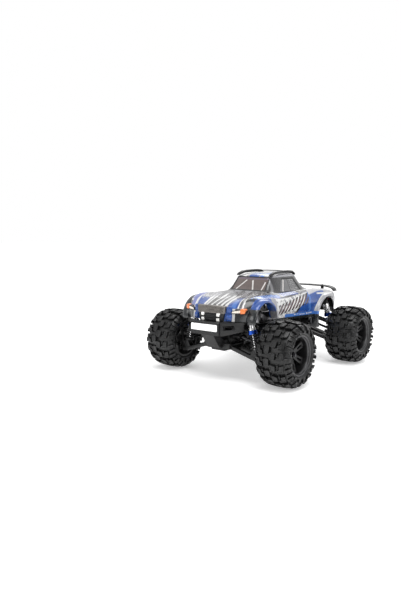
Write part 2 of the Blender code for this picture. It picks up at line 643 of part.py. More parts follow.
def build():
    clear_scene()
    black = material("black_nylon", (0.018, 0.018, 0.020), 0.55)
    rubber = material("tyre_rubber", (0.020, 0.020, 0.021), 0.85)
    wheel_black = material("wheel_black", (0.014, 0.014, 0.015), 0.40)
    paint = material("body_paint", (0.030, 0.110, 0.520), 0.25)
    silver = material("silver_metal", (0.72, 0.72, 0.73), 0.28, 1.0)
    steel = material("steel", (0.50, 0.50, 0.52), 0.32, 1.0)
    spring_black = material("spring_black", (0.020, 0.020, 0.022), 0.45, 0.4)
    lamp = material("lamp_lens", (0.92, 0.93, 0.95), 0.15)
    trim = material("trim_black", (0.020, 0.021, 0.024), 0.35)
    wrap = material("battery_wrap", (0.030, 0.060, 0.160), 0.40)
    gear_white = material("gear_nylon", (0.62, 0.60, 0.55), 0.50)
    plate_black = material("chassis_black", (0.022, 0.022, 0.024), 0.60)

    chassis = place(chassis_plate(), "chassis_plate", (0, 0, PLATE_BOTTOM), plate_black, world=True)
    case = gearbox()
    for end, word in ((-1, "front"), (1, "rear")):
        place(copied(case, 1, end), word + "_gearbox", (0, end * HALF_BASE, 53), black,
              parent=chassis, world=True)
        tower = shock_tower(95.0 if end < 0 else 91.6)
        place(copied(tower, 1, end), word + "_shock_tower", (0, end * 96.5, 80), black,
              parent=chassis, world=True)
        bpy.data.objects.remove(tower, do_unlink=True)
    bpy.data.objects.remove(case, do_unlink=True)

    front_bumper = place(bumper(), "front_bumper", (0, -120, 60), black, parent=chassis, world=True)
    place(light_bar(), "light_bar", (0, -136, 69), lamp, parent=front_bumper, world=True)
    place(rear_guard(), "rear_bumper", (0, 125, 60), black, parent=chassis, world=True)

    shell = place(body_shell(), "body_shell", (0, 0, 100), paint, parent=chassis, world=True)
    place(roof_skid(), "roof_skid", (0, 0, 130), trim, parent=shell, world=True)
    place(rear_spoiler(), "rear_spoiler", (0, 121, 102), trim, parent=shell, world=True)

    pack = box((5.6, 26), (-44, 26), (39.4, 61), 1.2)
    place(pack, "battery", (16, -9, 39.4), wrap, parent=chassis, world=True)
    electronics = box((-26, -5.6), (-44, 0), (39.4, 57), 1.0)
    fins = [box((-24 + 4 * step, -22.4 + 4 * step), (-40, -14), (56, 60.4)) for step in range(5)]
    place(join(electronics, *fins), "electronics_box", (-16, -22, 39.4), trim,
          parent=chassis, world=True)

    axis_x, axis_z = motor_axis()
    can = join(bar((axis_x, 11, axis_z), (axis_x, 45, axis_z), 11.6, 20),
               bar((axis_x, 8, axis_z), (axis_x, 12, axis_z), 4, 10))
    mount = box((axis_x - 9, axis_x + 9), (38, 43), (39.3, 50))
    motor = cut(join(can, mount), bar((axis_x, 40, axis_z), (axis_x, 48, axis_z), 1.7, 8))
    place(motor, "motor", (axis_x, 28, axis_z), steel, parent=chassis, world=True)
    pinion = join(gear(PINION_TEETH, MOTOR_ANGLE + math.pi, SPUR_Y - 2.4, SPUR_Y + 2.4),
                  bar((0, 41, 0), (0, SPUR_Y + 2, 0), 1.3, 8))
    place(pinion, "pinion_gear", (axis_x, 0, axis_z), steel, parent=chassis)
    place(spur_and_shaft(), "spur_gear", (0, 0, SHAFT_HEIGHT), gear_white, parent=chassis)

    servo = box((5, 17), (-76.2, -53), (39.3, 55.6), 0.6)
    servo = join(servo, bar((CRANK_X, CRANK_Y, 55), (CRANK_X, CRANK_Y, 64.0), 2.7, 10))
    place(servo, "steering_servo", (CRANK_X, CRANK_Y, 39.3), black, parent=chassis, world=True)
    crank = prism(((-3.9, 0), (-2.8, -2.8), (0, -3.9), (2.8, -2.8), (3.9, 0), (2.7, 11.6), (1.4, 14.4),
                   (-1.4, 14.4), (-2.7, 11.6)), "Z", 57.6, 60.6)
    crank = join(crank, bar((0, 0, 57.6), (0, 0, 61.6), 4.0, 10))
    crank = cut(crank, bar((0, 0, 50), (0, 0, 70), 3.0, 10),
                bar((0, STEER_RADIUS, 50), (0, STEER_RADIUS, 70), 1.65, 8))
    cranks = {}
    for side, word in ((1, "servo_arm"), (-1, "idler_arm")):
        arm = copied(crank, side, -1)
        arm.data.transform(Matrix.Translation((0, 0, -60)))
        cranks[side] = place(arm, word, (side * CRANK_X, CRANK_Y, 60), black, parent=chassis)
    bpy.data.objects.remove(crank, do_unlink=True)
    link_y = CRANK_Y + STEER_RADIUS
    link = box((-30, 30), (link_y - 2.4, link_y + 2.4), (62.3, 64.6), 0.5)
    for x in (-CRANK_X, CRANK_X):
        link = join(link, bar((x, link_y, 63), (x, link_y, 57.8), PIN_RADIUS, 8))
    for x in (-27, 27):
        link = join(link, bar((x, link_y, 63), (x, link_y, 57.6), PIN_RADIUS, 8))
    place(link, "centre_link", (CRANK_X, link_y, 63), black, parent=cranks[1], world=True)

    rod_end_y = -ROD_SWEEP
    rod = join(bar((0, 0, 0), (ARM_RUN, rod_end_y, -ARM_DROP), 1.4, 8),
               bar((0, 0, -1.5), (0, 0, 1.5), 3.1, 10),
               bar((ARM_RUN, rod_end_y, -ARM_DROP - 1.8), (ARM_RUN, rod_end_y, -ARM_DROP + 1.8), 3.2, 10))
    rod = cut(rod, bar((0, 0, -5), (0, 0, 5), 2.0, 8),
              bar((ARM_RUN, rod_end_y, -ARM_DROP - 5), (ARM_RUN, rod_end_y, -ARM_DROP + 5), 2.0, 8))
    for side, word in ((1, "tie_rod_left"), (-1, "tie_rod_right")):
        place(copied(rod, side, -1), word, (side * 27, link_y, 59.7), steel,
              parent=bpy.data.objects["centre_link"])
    bpy.data.objects.remove(rod, do_unlink=True)

    masters = {"lower_arm": lower_arm(), "upper_arm": upper_arm(), "front": front_upright(),
               "rear": rear_upright(), "knuckle": knuckle(), "half_shaft": half_shaft(), "rim": rim(),
               "tyre": tyre(), "shock_body": shock_body(), "shock_rod": shock_rod(), "spring": coil()}
    for end, end_word in ((-1, "front"), (1, "rear")):
        for side, side_word in ((1, "left"), (-1, "right")):
            corner = end_word + "_" + side_word + "_"
            y = end * HALF_BASE

            def add(key, word, pivot, look, tilt=0.0, parent=chassis):
                piece = copied(masters[key], side, end)
                return place(piece, corner + word, pivot, look, side * tilt, parent)

            arm = add("lower_arm", "lower_arm", (side * LOWER_PIVOT[0], y, LOWER_PIVOT[1]), black, ARM_TILT)
            add("upper_arm", "upper_arm", (side * UPPER_PIVOT[0], y, UPPER_PIVOT[1]), black, ARM_TILT)
            carrier_at = (side * (LOWER_PIVOT[0] + ARM_RUN), y, LOWER_PIVOT[1] - ARM_DROP)
            carrier = add(end_word, "hub_carrier", carrier_at, black, parent=arm)
            if end < 0:
                carrier = add("knuckle", "knuckle", (side * KINGPIN_X, y, HUB_HEIGHT), black, parent=carrier)
            add("half_shaft", "half_shaft", (side * SHAFT_PIVOT[0], y, SHAFT_PIVOT[1]), steel, ARM_TILT)
            wheel = add("rim", "rim", (side * HALF_TRACK, y, HUB_HEIGHT), wheel_black, parent=carrier)
            add("tyre", "tyre", (side * HALF_TRACK, y, HUB_HEIGHT), rubber, parent=wheel)
            shock_y = y + end * SHOCK_OFFSET
            top = (side * SHOCK_TOP[0], shock_y, SHOCK_TOP[1])
            eye = (side * SHOCK_EYE[0], shock_y, SHOCK_EYE[1])
            barrel = add("shock_body", "shock_body", top, silver, -SHOCK_TILT)
            add("shock_rod", "shock_rod", eye, steel, -SHOCK_TILT, barrel)
            add("spring", "spring", top, spring_black, -SHOCK_TILT, barrel)
    for master in masters.values():
        bpy.data.objects.remove(master, do_unlink=True)
    bpy.context.view_layer.update()


build()
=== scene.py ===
import json
import math

import bpy
from mathutils import Matrix, Vector


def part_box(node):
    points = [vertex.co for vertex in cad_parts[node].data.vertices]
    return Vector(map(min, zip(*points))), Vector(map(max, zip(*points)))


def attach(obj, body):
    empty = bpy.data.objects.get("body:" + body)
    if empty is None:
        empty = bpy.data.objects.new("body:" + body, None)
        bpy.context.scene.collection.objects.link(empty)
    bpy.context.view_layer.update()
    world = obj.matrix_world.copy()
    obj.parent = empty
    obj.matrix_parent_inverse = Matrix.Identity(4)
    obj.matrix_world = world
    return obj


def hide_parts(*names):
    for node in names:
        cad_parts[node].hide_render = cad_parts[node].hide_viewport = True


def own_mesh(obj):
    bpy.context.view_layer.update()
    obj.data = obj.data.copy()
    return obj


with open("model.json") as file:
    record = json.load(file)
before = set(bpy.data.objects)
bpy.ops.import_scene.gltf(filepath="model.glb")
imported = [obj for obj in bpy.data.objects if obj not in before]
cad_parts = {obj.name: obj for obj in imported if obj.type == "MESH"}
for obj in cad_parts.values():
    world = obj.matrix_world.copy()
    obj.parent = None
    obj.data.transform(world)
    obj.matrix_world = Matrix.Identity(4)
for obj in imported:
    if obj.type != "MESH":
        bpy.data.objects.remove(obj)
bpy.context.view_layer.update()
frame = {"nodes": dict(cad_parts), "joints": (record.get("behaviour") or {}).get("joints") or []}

bl_info = {
    "name": "Monster Truck Builder",
    "version": (1, 0, 0),
    "blender": (4, 5, 0),
    "location": "View3D > Sidebar > Truck",
    "description": "Builds the visible model of a small radio-controlled monster truck",
    "category": "Object",
}

MM = 0.001
JOINTS = {joint["name"]: joint for joint in frame["joints"]}
CORNERS = tuple((end, side) for end in (-1, 1) for side in (1, -1))


def corner_name(end, side):
    return ("front" if end < 0 else "rear") + ("_left" if side > 0 else "_right")


def mid(node):
    low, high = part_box(node)
    return (Vector(low) + Vector(high)) / (2 * MM)


def pivot(joint):
    return Vector(JOINTS[joint]["pos_m"]) / MM


SHOCK_TOP = pivot("front_left_shock_swing")
SHOCK_AXIS = Vector(JOINTS["front_left_shock_stroke"]["axis"])
SHOCK_TILT = math.atan2(-SHOCK_AXIS.x, SHOCK_AXIS.z)
SHOCK_LENGTH = 45.1

# Body lines: station along the truck, bow of the row, then (x, z) from the centre line to the sill
SHELL_STATIONS = (
    (-121.5, 10.0, ((0, 92.5), (14, 92.3), (25, 92.0), (33, 91.2), (39.5, 90.0), (43.3, 88.0),
                    (44.6, 85.0), (44.6, 80.5), (43.6, 76.2))),
    (-118.5, 9.0, ((0, 95.0), (14, 95.0), (26, 95.0), (34, 94.5), (40.5, 93.0), (45.0, 90.5),
                   (46.6, 86.5), (46.6, 80.5), (45.4, 75.5))),
    (-110.0, 6.0, ((0, 96.8), (14, 97.2), (26, 98.6), (35, 100.0), (42, 100.4), (48.3, 97.5),
                   (51.3, 92.0), (51.4, 83.5), (50.0, 74.5))),
    (-98.0, 3.0, ((0, 98.6), (14, 99.2), (26, 101.0), (35.5, 103.6), (43, 104.6), (49.6, 102.0),
                  (53.2, 96.0), (53.6, 86.0), (52.4, 73.5))),
    (-84.0, 0.0, ((0, 100.6), (14, 101.2), (26, 102.8), (36, 104.8), (44, 105.4), (50.4, 102.8),
                  (54.0, 96.5), (54.2, 86.0), (52.8, 73.0))),
    (-62.0, -2.0, ((0, 103.6), (14, 104.0), (26, 104.8), (36, 105.2), (44, 104.4), (49.4, 101.0),
                   (52.4, 94.0), (52.6, 84.0), (51.0, 73.0))),
    (-45.0, 4.0, ((0, 107.0), (14, 107.0), (27, 106.8), (37, 105.8), (44.4, 102.4), (48.8, 98.0),
                  (51.4, 91.5), (51.6, 82.0), (50.2, 72.0))),
    (-28.0, 4.0, ((0, 127.0), (14, 126.8), (27, 125.2), (38.4, 103.6), (44.8, 101.4), (49.4, 96.5),
                  (51.6, 90.0), (51.6, 81.0), (50.0, 71.0))),
    (-14.0, 2.0, ((0, 130.0), (14, 129.6), (28.2, 127.4), (39.4, 103.2), (45.2, 101.8), (49.8, 96.5),
                  (51.8, 89.5), (51.6, 80.0), (49.8, 70.0))),
    (12.0, 0.0, ((0, 130.6), (14, 130.2), (28.6, 128.0), (40.0, 104.0), (45.8, 103.0), (50.0, 97.5),
                 (52.0, 89.5), (51.6, 79.0), (49.6, 68.0))),
    (34.0, -2.0, ((0, 129.4), (14, 129.0), (27.4, 126.8), (40.2, 104.8), (46.0, 104.2), (50.2, 98.5),
                  (52.2, 90.0), (51.6, 78.5), (49.4, 66.6))),
    (50.0, 0.0, ((0, 105.6), (14, 105.6), (30, 105.4), (40.0, 105.4), (46.4, 105.2), (50.8, 99.5),
                 (52.8, 91.0), (52.0, 79.5), (50.2, 66.4))),
    (53.0, 0.0, ((0, 95.0), (14, 95.0), (36, 95.2), (39.6, 105.4), (46.6, 105.6), (51.0, 100.0),
                 (53.0, 91.5), (52.2, 80.0), (50.4, 66.6))),
    (68.0, 0.0, ((0, 95.0), (14, 95.0), (36, 95.2), (39.8, 105.0), (47.0, 105.4), (51.6, 101.0),
                 (54.6, 93.5), (54.6, 83.0), (53.0, 69.0))),
    (90.0, 0.0, ((0, 95.0), (14, 95.0), (36, 95.2), (39.8, 102.2), (47.0, 103.0), (52.2, 99.5),
                 (56.0, 93.5), (56.4, 84.0), (54.8, 71.0))),
    (112.0, 0.0, ((0, 95.0), (14, 95.0), (35.6, 95.2), (39.4, 98.4), (46.0, 99.0), (51.0, 96.5),
                  (53.8, 91.0), (53.8, 82.0), (52.0, 72.0))),
    (114.6, 0.0, ((0, 98.2), (14, 98.2), (35.6, 98.2), (39.6, 98.3), (45.8, 98.4), (50.4, 96.2),
                  (53.0, 90.8), (53.0, 82.0), (51.4, 72.4))),
    (122.0, -6.0, ((0, 95.6), (14, 95.6), (34, 95.4), (39, 95.0), (44.4, 94.0), (47.8, 91.6),
                   (49.6, 87.0), (49.6, 81.0), (48.4, 74.0))),
)
# wheel arches: (y, z, radius) of each cut, and the height at which its flare ends
FRONT_ARCH = (-84.0, 74.0, 24.0)
REAR_ARCH = (85.0, 62.5, 30.5)
FRONT_SILL = 74.6
REAR_SILL = 73.1
# outside faces first, then the same number for the inner wall, which is near black as painted shade of the
# dark inside of the shell and its arches
SHELL_LOOKS = ("body_livery", "smoked_window", "window_seal", "shell_inside", "shell_inside", "shell_inside")

# the view that the stage is set for
CAMERA_PLACE = (0.40946, -0.64982, 0.17515)
CAMERA_AZIMUTH = math.radians(38.955)
CAMERA_ELEVATION = math.radians(6.387)
CAMERA_LENS = 32.6


# ---------------------------------------------------------------- modelling tools

def deselect():
    for item in bpy.context.selected_objects:
        item.select_set(False)


def activate(item):
    deselect()
    item.select_set(True)
    bpy.context.view_layer.objects.active = item
    return item


def edit(item):
    activate(item)
    bpy.ops.object.mode_set(mode="EDIT")
    bpy.ops.mesh.select_mode(type="VERT")
    bpy.ops.mesh.select_all(action="SELECT")


def object_mode():
    bpy.ops.object.mode_set(mode="OBJECT")


def settle(item):
    """Put an object's place, turn and scale into its mesh."""
    activate(item)
    bpy.ops.object.transform_apply(location=True, rotation=True, scale=True)
    return item


def bevel_edges(item, width, segments=2, angle=40):
    activate(item)
    rounding = item.modifiers.new("Rounded edges", "BEVEL")
    rounding.width = width * MM
    rounding.segments = segments
    rounding.limit_method = "ANGLE"
    rounding.angle_limit = math.radians(angle)
    rounding.use_clamp_overlap = True
    bpy.ops.object.modifier_apply(modifier=rounding.name)
    return item


def block(x, y, z, bevel=0.0, segments=2):
    """A block between the (low, high) pairs x, y and z in millimetres."""
    deselect()
    centre = [sum(pair) / 2 * MM for pair in (x, y, z)]
    size = [abs(pair[1] - pair[0]) * MM for pair in (x, y, z)]
    bpy.ops.mesh.primitive_cube_add(size=1, location=centre, scale=size)
    made = settle(bpy.context.object)
    return bevel_edges(made, bevel, segments) if bevel else made


def rod(start, end, radius, sides=24, bevel=0.0, segments=2):
    """A round bar between two points in millimetres."""
    deselect()
    start, end = Vector(start), Vector(end)
    run = end - start
    turn = Vector((0, 0, 1)).rotation_difference(run.normalized()).to_euler()
    bpy.ops.mesh.primitive_cone_add(
        vertices=sides, radius1=radius * MM, radius2=radius * MM, depth=run.length * MM,
        location=(start + end) / 2 * MM, rotation=turn)
    made = settle(bpy.context.object)
    return bevel_edges(made, bevel, segments, 50) if bevel else made


def outline_ring(points, axis, level, fill="NGON"):
    """A flat closed outline; its points are given across the axis, at one level along it."""
    deselect()
    order = {"X": (2, 0, 1), "Y": (0, 2, 1), "Z": (0, 1, 2)}[axis]
    bpy.ops.mesh.primitive_circle_add(vertices=len(points), radius=0.01, fill_type=fill)
    made = bpy.context.object
    for vertex, (first, second) in zip(made.data.vertices, points):
        values = (first, second, level)
        vertex.co = Vector([values[index] for index in order]) * MM
    return made


def prism(points, axis, low, high, bevel=0.0, segments=2):
    """An outline extruded along an axis from low to high, in millimetres."""
    made = outline_ring(points, axis, low)
    step = {"X": (high - low, 0, 0), "Y": (0, high - low, 0), "Z": (0, 0, high - low)}[axis]
    edit(made)
    bpy.ops.mesh.extrude_region_move(TRANSFORM_OT_translate={"value": Vector(step) * MM})
    bpy.ops.mesh.select_all(action="SELECT")
    bpy.ops.mesh.normals_make_consistent(inside=False)
    object_mode()
    return bevel_edges(made, bevel, segments) if bevel else made


def lathe(profile, axis="X", sides=48):
    """A closed (along, radius) profile spun about the axis through the origin."""
    points = profile if axis == "X" else [(radius, along) for along, radius in profile]
    made = outline_ring(points, "Y", 0.0, fill="NOTHING")
    edit(made)
    bpy.ops.mesh.spin(steps=sides, angle=2 * math.pi, center=(0, 0, 0),
                      axis=(1, 0, 0) if axis == "X" else (0, 0, 1), use_auto_merge=True)
    bpy.ops.mesh.select_all(action="SELECT")
    bpy.ops.mesh.remove_doubles(threshold=0.000002)
    bpy.ops.mesh.normals_make_consistent(inside=False)
    object_mode()
    return made


def combine(base, tool, operation):
    activate(base)
    change = base.modifiers.new("Combine", "BOOLEAN")
    change.object = tool
    change.operation = operation
    change.solver = "EXACT"
    bpy.ops.object.modifier_apply(modifier=change.name)
    bpy.data.objects.remove(tool, do_unlink=True)
    return base


def fuse(base, *parts):
    for part in parts:
        combine(base, part, "UNION")
    return base


def cut(base, *tools):
    for tool in tools:
        combine(base, tool, "DIFFERENCE")
    return base


def gather(items):
    """Join separate shapes into one object."""
    deselect()
    for item in items:
        item.select_set(True)
    bpy.context.view_layer.objects.active = items[0]
    bpy.ops.object.join()
    return bpy.context.object


def moved(item, matrix):
    item.data.transform(matrix)
    item.data.update()
    return item


def stood(item, place, tilt=0.0):
    """Tilt a shape drawn about its pivot and stand it at its place."""
    return moved(item, Matrix.Translation(Vector(place) * MM) @ Matrix.Rotation(tilt, 4, "Y"))


def copy_of(item, matrix=Matrix.Identity(4)):
    mesh = item.data.copy()
    mesh.transform(matrix)
    if matrix.determinant() < 0:
        mesh.flip_normals()
    made = bpy.data.objects.new("shape", mesh)
    bpy.context.scene.collection.objects.link(made)
    return made


def for_corner(item, end, side):
    """A copy of a front-left shape in another corner of the truck."""
    return copy_of(item, Matrix.Diagonal((side, -end, 1, 1)))


def discard(item):
    bpy.data.objects.remove(item, do_unlink=True)


def finer(node, width=0.35, segments=2, dissolve=1.0):
    """A merged copy of a frame part with whole flat faces and rounded edges."""
    source = frame["nodes"][node]
    made = bpy.data.objects.new("shape", source.data.copy())
    bpy.context.scene.collection.objects.link(made)
    activate(made)
    bpy.ops.mesh.customdata_custom_splitnormals_clear()
    edit(made)
    bpy.ops.mesh.remove_doubles(threshold=0.000003)
    bpy.ops.mesh.dissolve_limited(angle_limit=math.radians(dissolve))
    object_mode()
    if width:
        bevel_edges(made, width, segments, 50)
    return made


def fit(item, name, body, look, slot, *nodes, smooth=38):
    """Name a finished piece, give it its look and set it on its body."""
    item.name = name
    item.data.name = name
    looks = look if isinstance(look, (list, tuple)) else [look]
    if len(item.data.materials) != len(looks) or len(looks) == 1:
        item.data.materials.clear()
        for entry in looks:
            item.data.materials.append(material(entry))
    else:
        for index, entry in enumerate(looks):
            item.data.materials[index] = material(entry)
    activate(item)
    bpy.ops.object.shade_smooth_by_angle(angle=math.radians(smooth))
    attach(item, body)
    if nodes:
        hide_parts(*nodes)
    return item


# ---------------------------------------------------------------- material tools

class Field:
    """A number that changes over the surface, built from Math nodes by plain arithmetic."""

    def __init__(self, tree, socket):
        self.tree = tree
        self.socket = socket

    def math(self, operation, *others, clamp=False):
        node = self.tree.nodes.new("ShaderNodeMath")
        node.operation = operation
        node.use_clamp = clamp
        for slot, value in zip(node.inputs, (self, *others)):
            if isinstance(value, Field):
                self.tree.links.new(value.socket, slot)
            else:
                slot.default_value = value
        return Field(self.tree, node.outputs[0])

    def __add__(self, other):
        return self.math("ADD", other)

    def __sub__(self, other):
        return self.math("SUBTRACT", other)

    def __mul__(self, other):
        return self.math("MULTIPLY", other)

    def __truediv__(self, other):
        return self.math("DIVIDE", other)

    def size(self):
        return self.math("ABSOLUTE")

    def either(self, other):
        return self.math("MAXIMUM", other)

    def fraction(self):
        return self.math("FRACT")

    def over(self, edge, soft=0.2):
        node = self.tree.nodes.new("ShaderNodeMapRange")
        node.interpolation_type = "SMOOTHSTEP"
        self.tree.links.new(self.socket, node.inputs["Value"])
        node.inputs["From Min"].default_value = edge - soft
        node.inputs["From Max"].default_value = edge + soft
        return Field(self.tree, node.outputs["Result"])

    def under(self, edge, soft=0.2):
        return self.over(edge, soft).math("MULTIPLY_ADD", -1.0, 1.0)

    def between(self, low, high, soft=0.2):
        return self.over(low, soft) * self.under(high, soft)


def coordinates(tree, factor=1000.0):
    """Object coordinates as three fields, in millimetres."""
    source = tree.nodes.new("ShaderNodeTexCoord")
    scaled = tree.nodes.new("ShaderNodeVectorMath")
    scaled.operation = "SCALE"
    scaled.inputs["Scale"].default_value = factor
    tree.links.new(source.outputs["Object"], scaled.inputs[0])
    parts = tree.nodes.new("ShaderNodeSeparateXYZ")
    tree.links.new(scaled.outputs[0], parts.inputs[0])
    return [Field(tree, parts.outputs[index]) for index in range(3)]


def noise(tree, x, y, z, scale=1.0, detail=3.0, roughness=0.5):
    joined = tree.nodes.new("ShaderNodeCombineXYZ")
    for slot, value in zip(joined.inputs, (x, y, z)):
        if isinstance(value, Field):
            tree.links.new(value.socket, slot)
        else:
            slot.default_value = value
    node = tree.nodes.new("ShaderNodeTexNoise")
    node.inputs["Scale"].default_value = scale
    node.inputs["Detail"].default_value = detail
    node.inputs["Roughness"].default_value = roughness
    tree.links.new(joined.outputs[0], node.inputs["Vector"])
    return Field(tree, node.outputs["Fac"])


def colour_mix(tree, under, over, mask):
    """Lay one colour over another where the mask is high."""
    node = tree.nodes.new("ShaderNodeMix")
    node.data_type = "RGBA"
    colour_inputs = [socket for socket in node.inputs if socket.type == "RGBA"]
    for slot, value in zip(colour_inputs, (under, over)):
        if isinstance(value, (tuple, list)):
            slot.default_value = (*value[:3], 1.0)
        else:
            tree.links.new(value, slot)
    factor = node.inputs[0]
    if isinstance(mask, Field):
        tree.links.new(mask.socket, factor)
    else:
        factor.default_value = mask
    return [socket for socket in node.outputs if socket.type == "RGBA"][0]


def segment(u, v, start, end, width, soft=0.15):
    """Mask of a straight painted bar between two points of a plane."""
    run = Vector(end) - Vector(start)
    length = run.length
    along = run / length
    du, dv = u - start[0], v - start[1]
    across = (du * -along.y + dv * along.x).size()
    forward = du * along.x + dv * along.y
    return across.under(width / 2, soft) * forward.between(0.0, length, soft)


def new_group(name, inputs, outputs):
    group = bpy.data.node_groups.new(name, "ShaderNodeTree")
    for label, kind, value in inputs:
        socket = group.interface.new_socket(label, in_out="INPUT", socket_type=kind)
        socket.default_value = value
    for label, kind in outputs:
        group.interface.new_socket(label, in_out="OUTPUT", socket_type=kind)
    entry = group.nodes.new("NodeGroupInput")
    result = group.nodes.new("NodeGroupOutput")
    return group, entry, result


def surface_group():
    """Moulded or cast surface: mottled colour, uneven gloss, fine grain and light scuffs."""
    name = "Worked surface"
    if name in bpy.data.node_groups:
        return bpy.data.node_groups[name]
    group, entry, result = new_group(
        name,
        [("Colour", "NodeSocketColor", (0.02, 0.02, 0.02, 1)),
         ("Scuff Colour", "NodeSocketColor", (0.1, 0.1, 0.1, 1)),
         ("Roughness", "NodeSocketFloat", 0.5), ("Scuffs", "NodeSocketFloat", 0.3),
         ("Grain", "NodeSocketFloat", 1.0), ("Mottle", "NodeSocketFloat", 0.3)],
        [("Colour", "NodeSocketColor"), ("Roughness", "NodeSocketFloat"), ("Height", "NodeSocketFloat")])
    x, y, z = coordinates(group)
    grain_size = Field(group, entry.outputs["Grain"])
    fine = noise(group, x * grain_size, y * grain_size, z * grain_size, 2.6, 4.0, 0.6)
    broad = noise(group, x, y, z, 0.11, 4.0, 0.62)
    rub = noise(group, x * 0.5, y * 1.7, z * 2.1, 0.9, 6.0, 0.72)
    mottle = Field(group, entry.outputs["Mottle"])
    tone = (broad - 0.5) * mottle * 2.4 + 1.0
    shade = group.nodes.new("ShaderNodeVectorMath")
    shade.operation = "SCALE"
    group.links.new(entry.outputs["Colour"], shade.inputs[0])
    group.links.new(tone.socket, shade.inputs["Scale"])
    scuffed = rub.over(0.63, 0.07) * broad.over(0.47, 0.12) * Field(group, entry.outputs["Scuffs"])
    painted = colour_mix(group, shade.outputs[0], entry.outputs["Scuff Colour"], scuffed)
    group.links.new(painted, result.inputs["Colour"])
    gloss = Field(group, entry.outputs["Roughness"]) + (broad - 0.5) * 0.22
    gloss = gloss + (fine - 0.5) * 0.12 + scuffed * 0.14
    group.links.new(gloss.math("MAXIMUM", 0.04).socket, result.inputs["Roughness"])
    group.links.new((fine * 0.8 + scuffed * -0.4).socket, result.inputs["Height"])
    return group


def brushed_group():
    """Turned or drawn metal: fine tool lines round the part and a few dull patches."""
    name = "Turned metal"
    if name in bpy.data.node_groups:
        return bpy.data.node_groups[name]
    group, entry, result = new_group(
        name,
        [("Colour", "NodeSocketColor", (0.7, 0.7, 0.7, 1)), ("Roughness", "NodeSocketFloat", 0.25)],
        [("Colour", "NodeSocketColor"), ("Roughness", "NodeSocketFloat"), ("Height", "NodeSocketFloat")])
    x, y, z = coordinates(group)
    lines = noise(group, x * 0.15, y * 0.15, z * 3.4, 1.5, 3.0, 0.6)
    patch = noise(group, x, y, z, 0.22, 3.0, 0.6)
    tone = (lines - 0.5) * 0.35 + (patch - 0.5) * 0.25 + 1.0
    shade = group.nodes.new("ShaderNodeVectorMath")
    shade.operation = "SCALE"
    group.links.new(entry.outputs["Colour"], shade.inputs[0])
    group.links.new(tone.socket, shade.inputs["Scale"])
    group.links.new(shade.outputs[0], result.inputs["Colour"])
    gloss = Field(group, entry.outputs["Roughness"]) + (lines - 0.5) * 0.2 + (patch - 0.5) * 0.15
    group.links.new(gloss.math("MAXIMUM", 0.05).socket, result.inputs["Roughness"])
    group.links.new(lines.socket, result.inputs["Height"])
    return group


def start_material(name):
    made = bpy.data.materials.new(name)
    made.use_nodes = True
    return made, made.node_tree, made.node_tree.nodes["Principled BSDF"]


def bump(tree, shader, height, distance, strength=1.0):
    node = tree.nodes.new("ShaderNodeBump")
    node.inputs["Strength"].default_value = strength
    node.inputs["Distance"].default_value = distance * MM
    tree.links.new(height, node.inputs["Height"])
    tree.links.new(node.outputs["Normal"], shader.inputs["Normal"])


def surface_material(name, colour, roughness, scuff=(0.1, 0.1, 0.1), scuffs=0.3, grain=1.0, mottle=0.3,
                     depth=0.05, metallic=0.0, coat=0.0, specular=0.4):
    made, tree, shader = start_material(name)
    group = tree.nodes.new("ShaderNodeGroup")
    group.node_tree = surface_group()
    group.inputs["Colour"].default_value = (*colour, 1)
    group.inputs["Scuff Colour"].default_value = (*scuff, 1)
    group.inputs["Roughness"].default_value = roughness
    group.inputs["Scuffs"].default_value = scuffs
    group.inputs["Grain"].default_value = grain
    group.inputs["Mottle"].default_value = mottle
    tree.links.new(group.outputs["Colour"], shader.inputs["Base Color"])
    tree.links.new(group.outputs["Roughness"], shader.inputs["Roughness"])
    shader.inputs["Metallic"].default_value = metallic
    shader.inputs["Coat Weight"].default_value = coat
    shader.inputs["Specular IOR Level"].default_value = specular
    bump(tree, shader, group.outputs["Height"], depth)
    return made


def metal_material(name, colour, roughness, depth=0.02):
    made, tree, shader = start_material(name)
    group = tree.nodes.new("ShaderNodeGroup")
    group.node_tree = brushed_group()
    group.inputs["Colour"].default_value = (*colour, 1)
    group.inputs["Roughness"].default_value = roughness
    tree.links.new(group.outputs["Colour"], shader.inputs["Base Color"])
    tree.links.new(group.outputs["Roughness"], shader.inputs["Roughness"])
    shader.inputs["Metallic"].default_value = 1.0
    bump(tree, shader, group.outputs["Height"], depth)
    return made


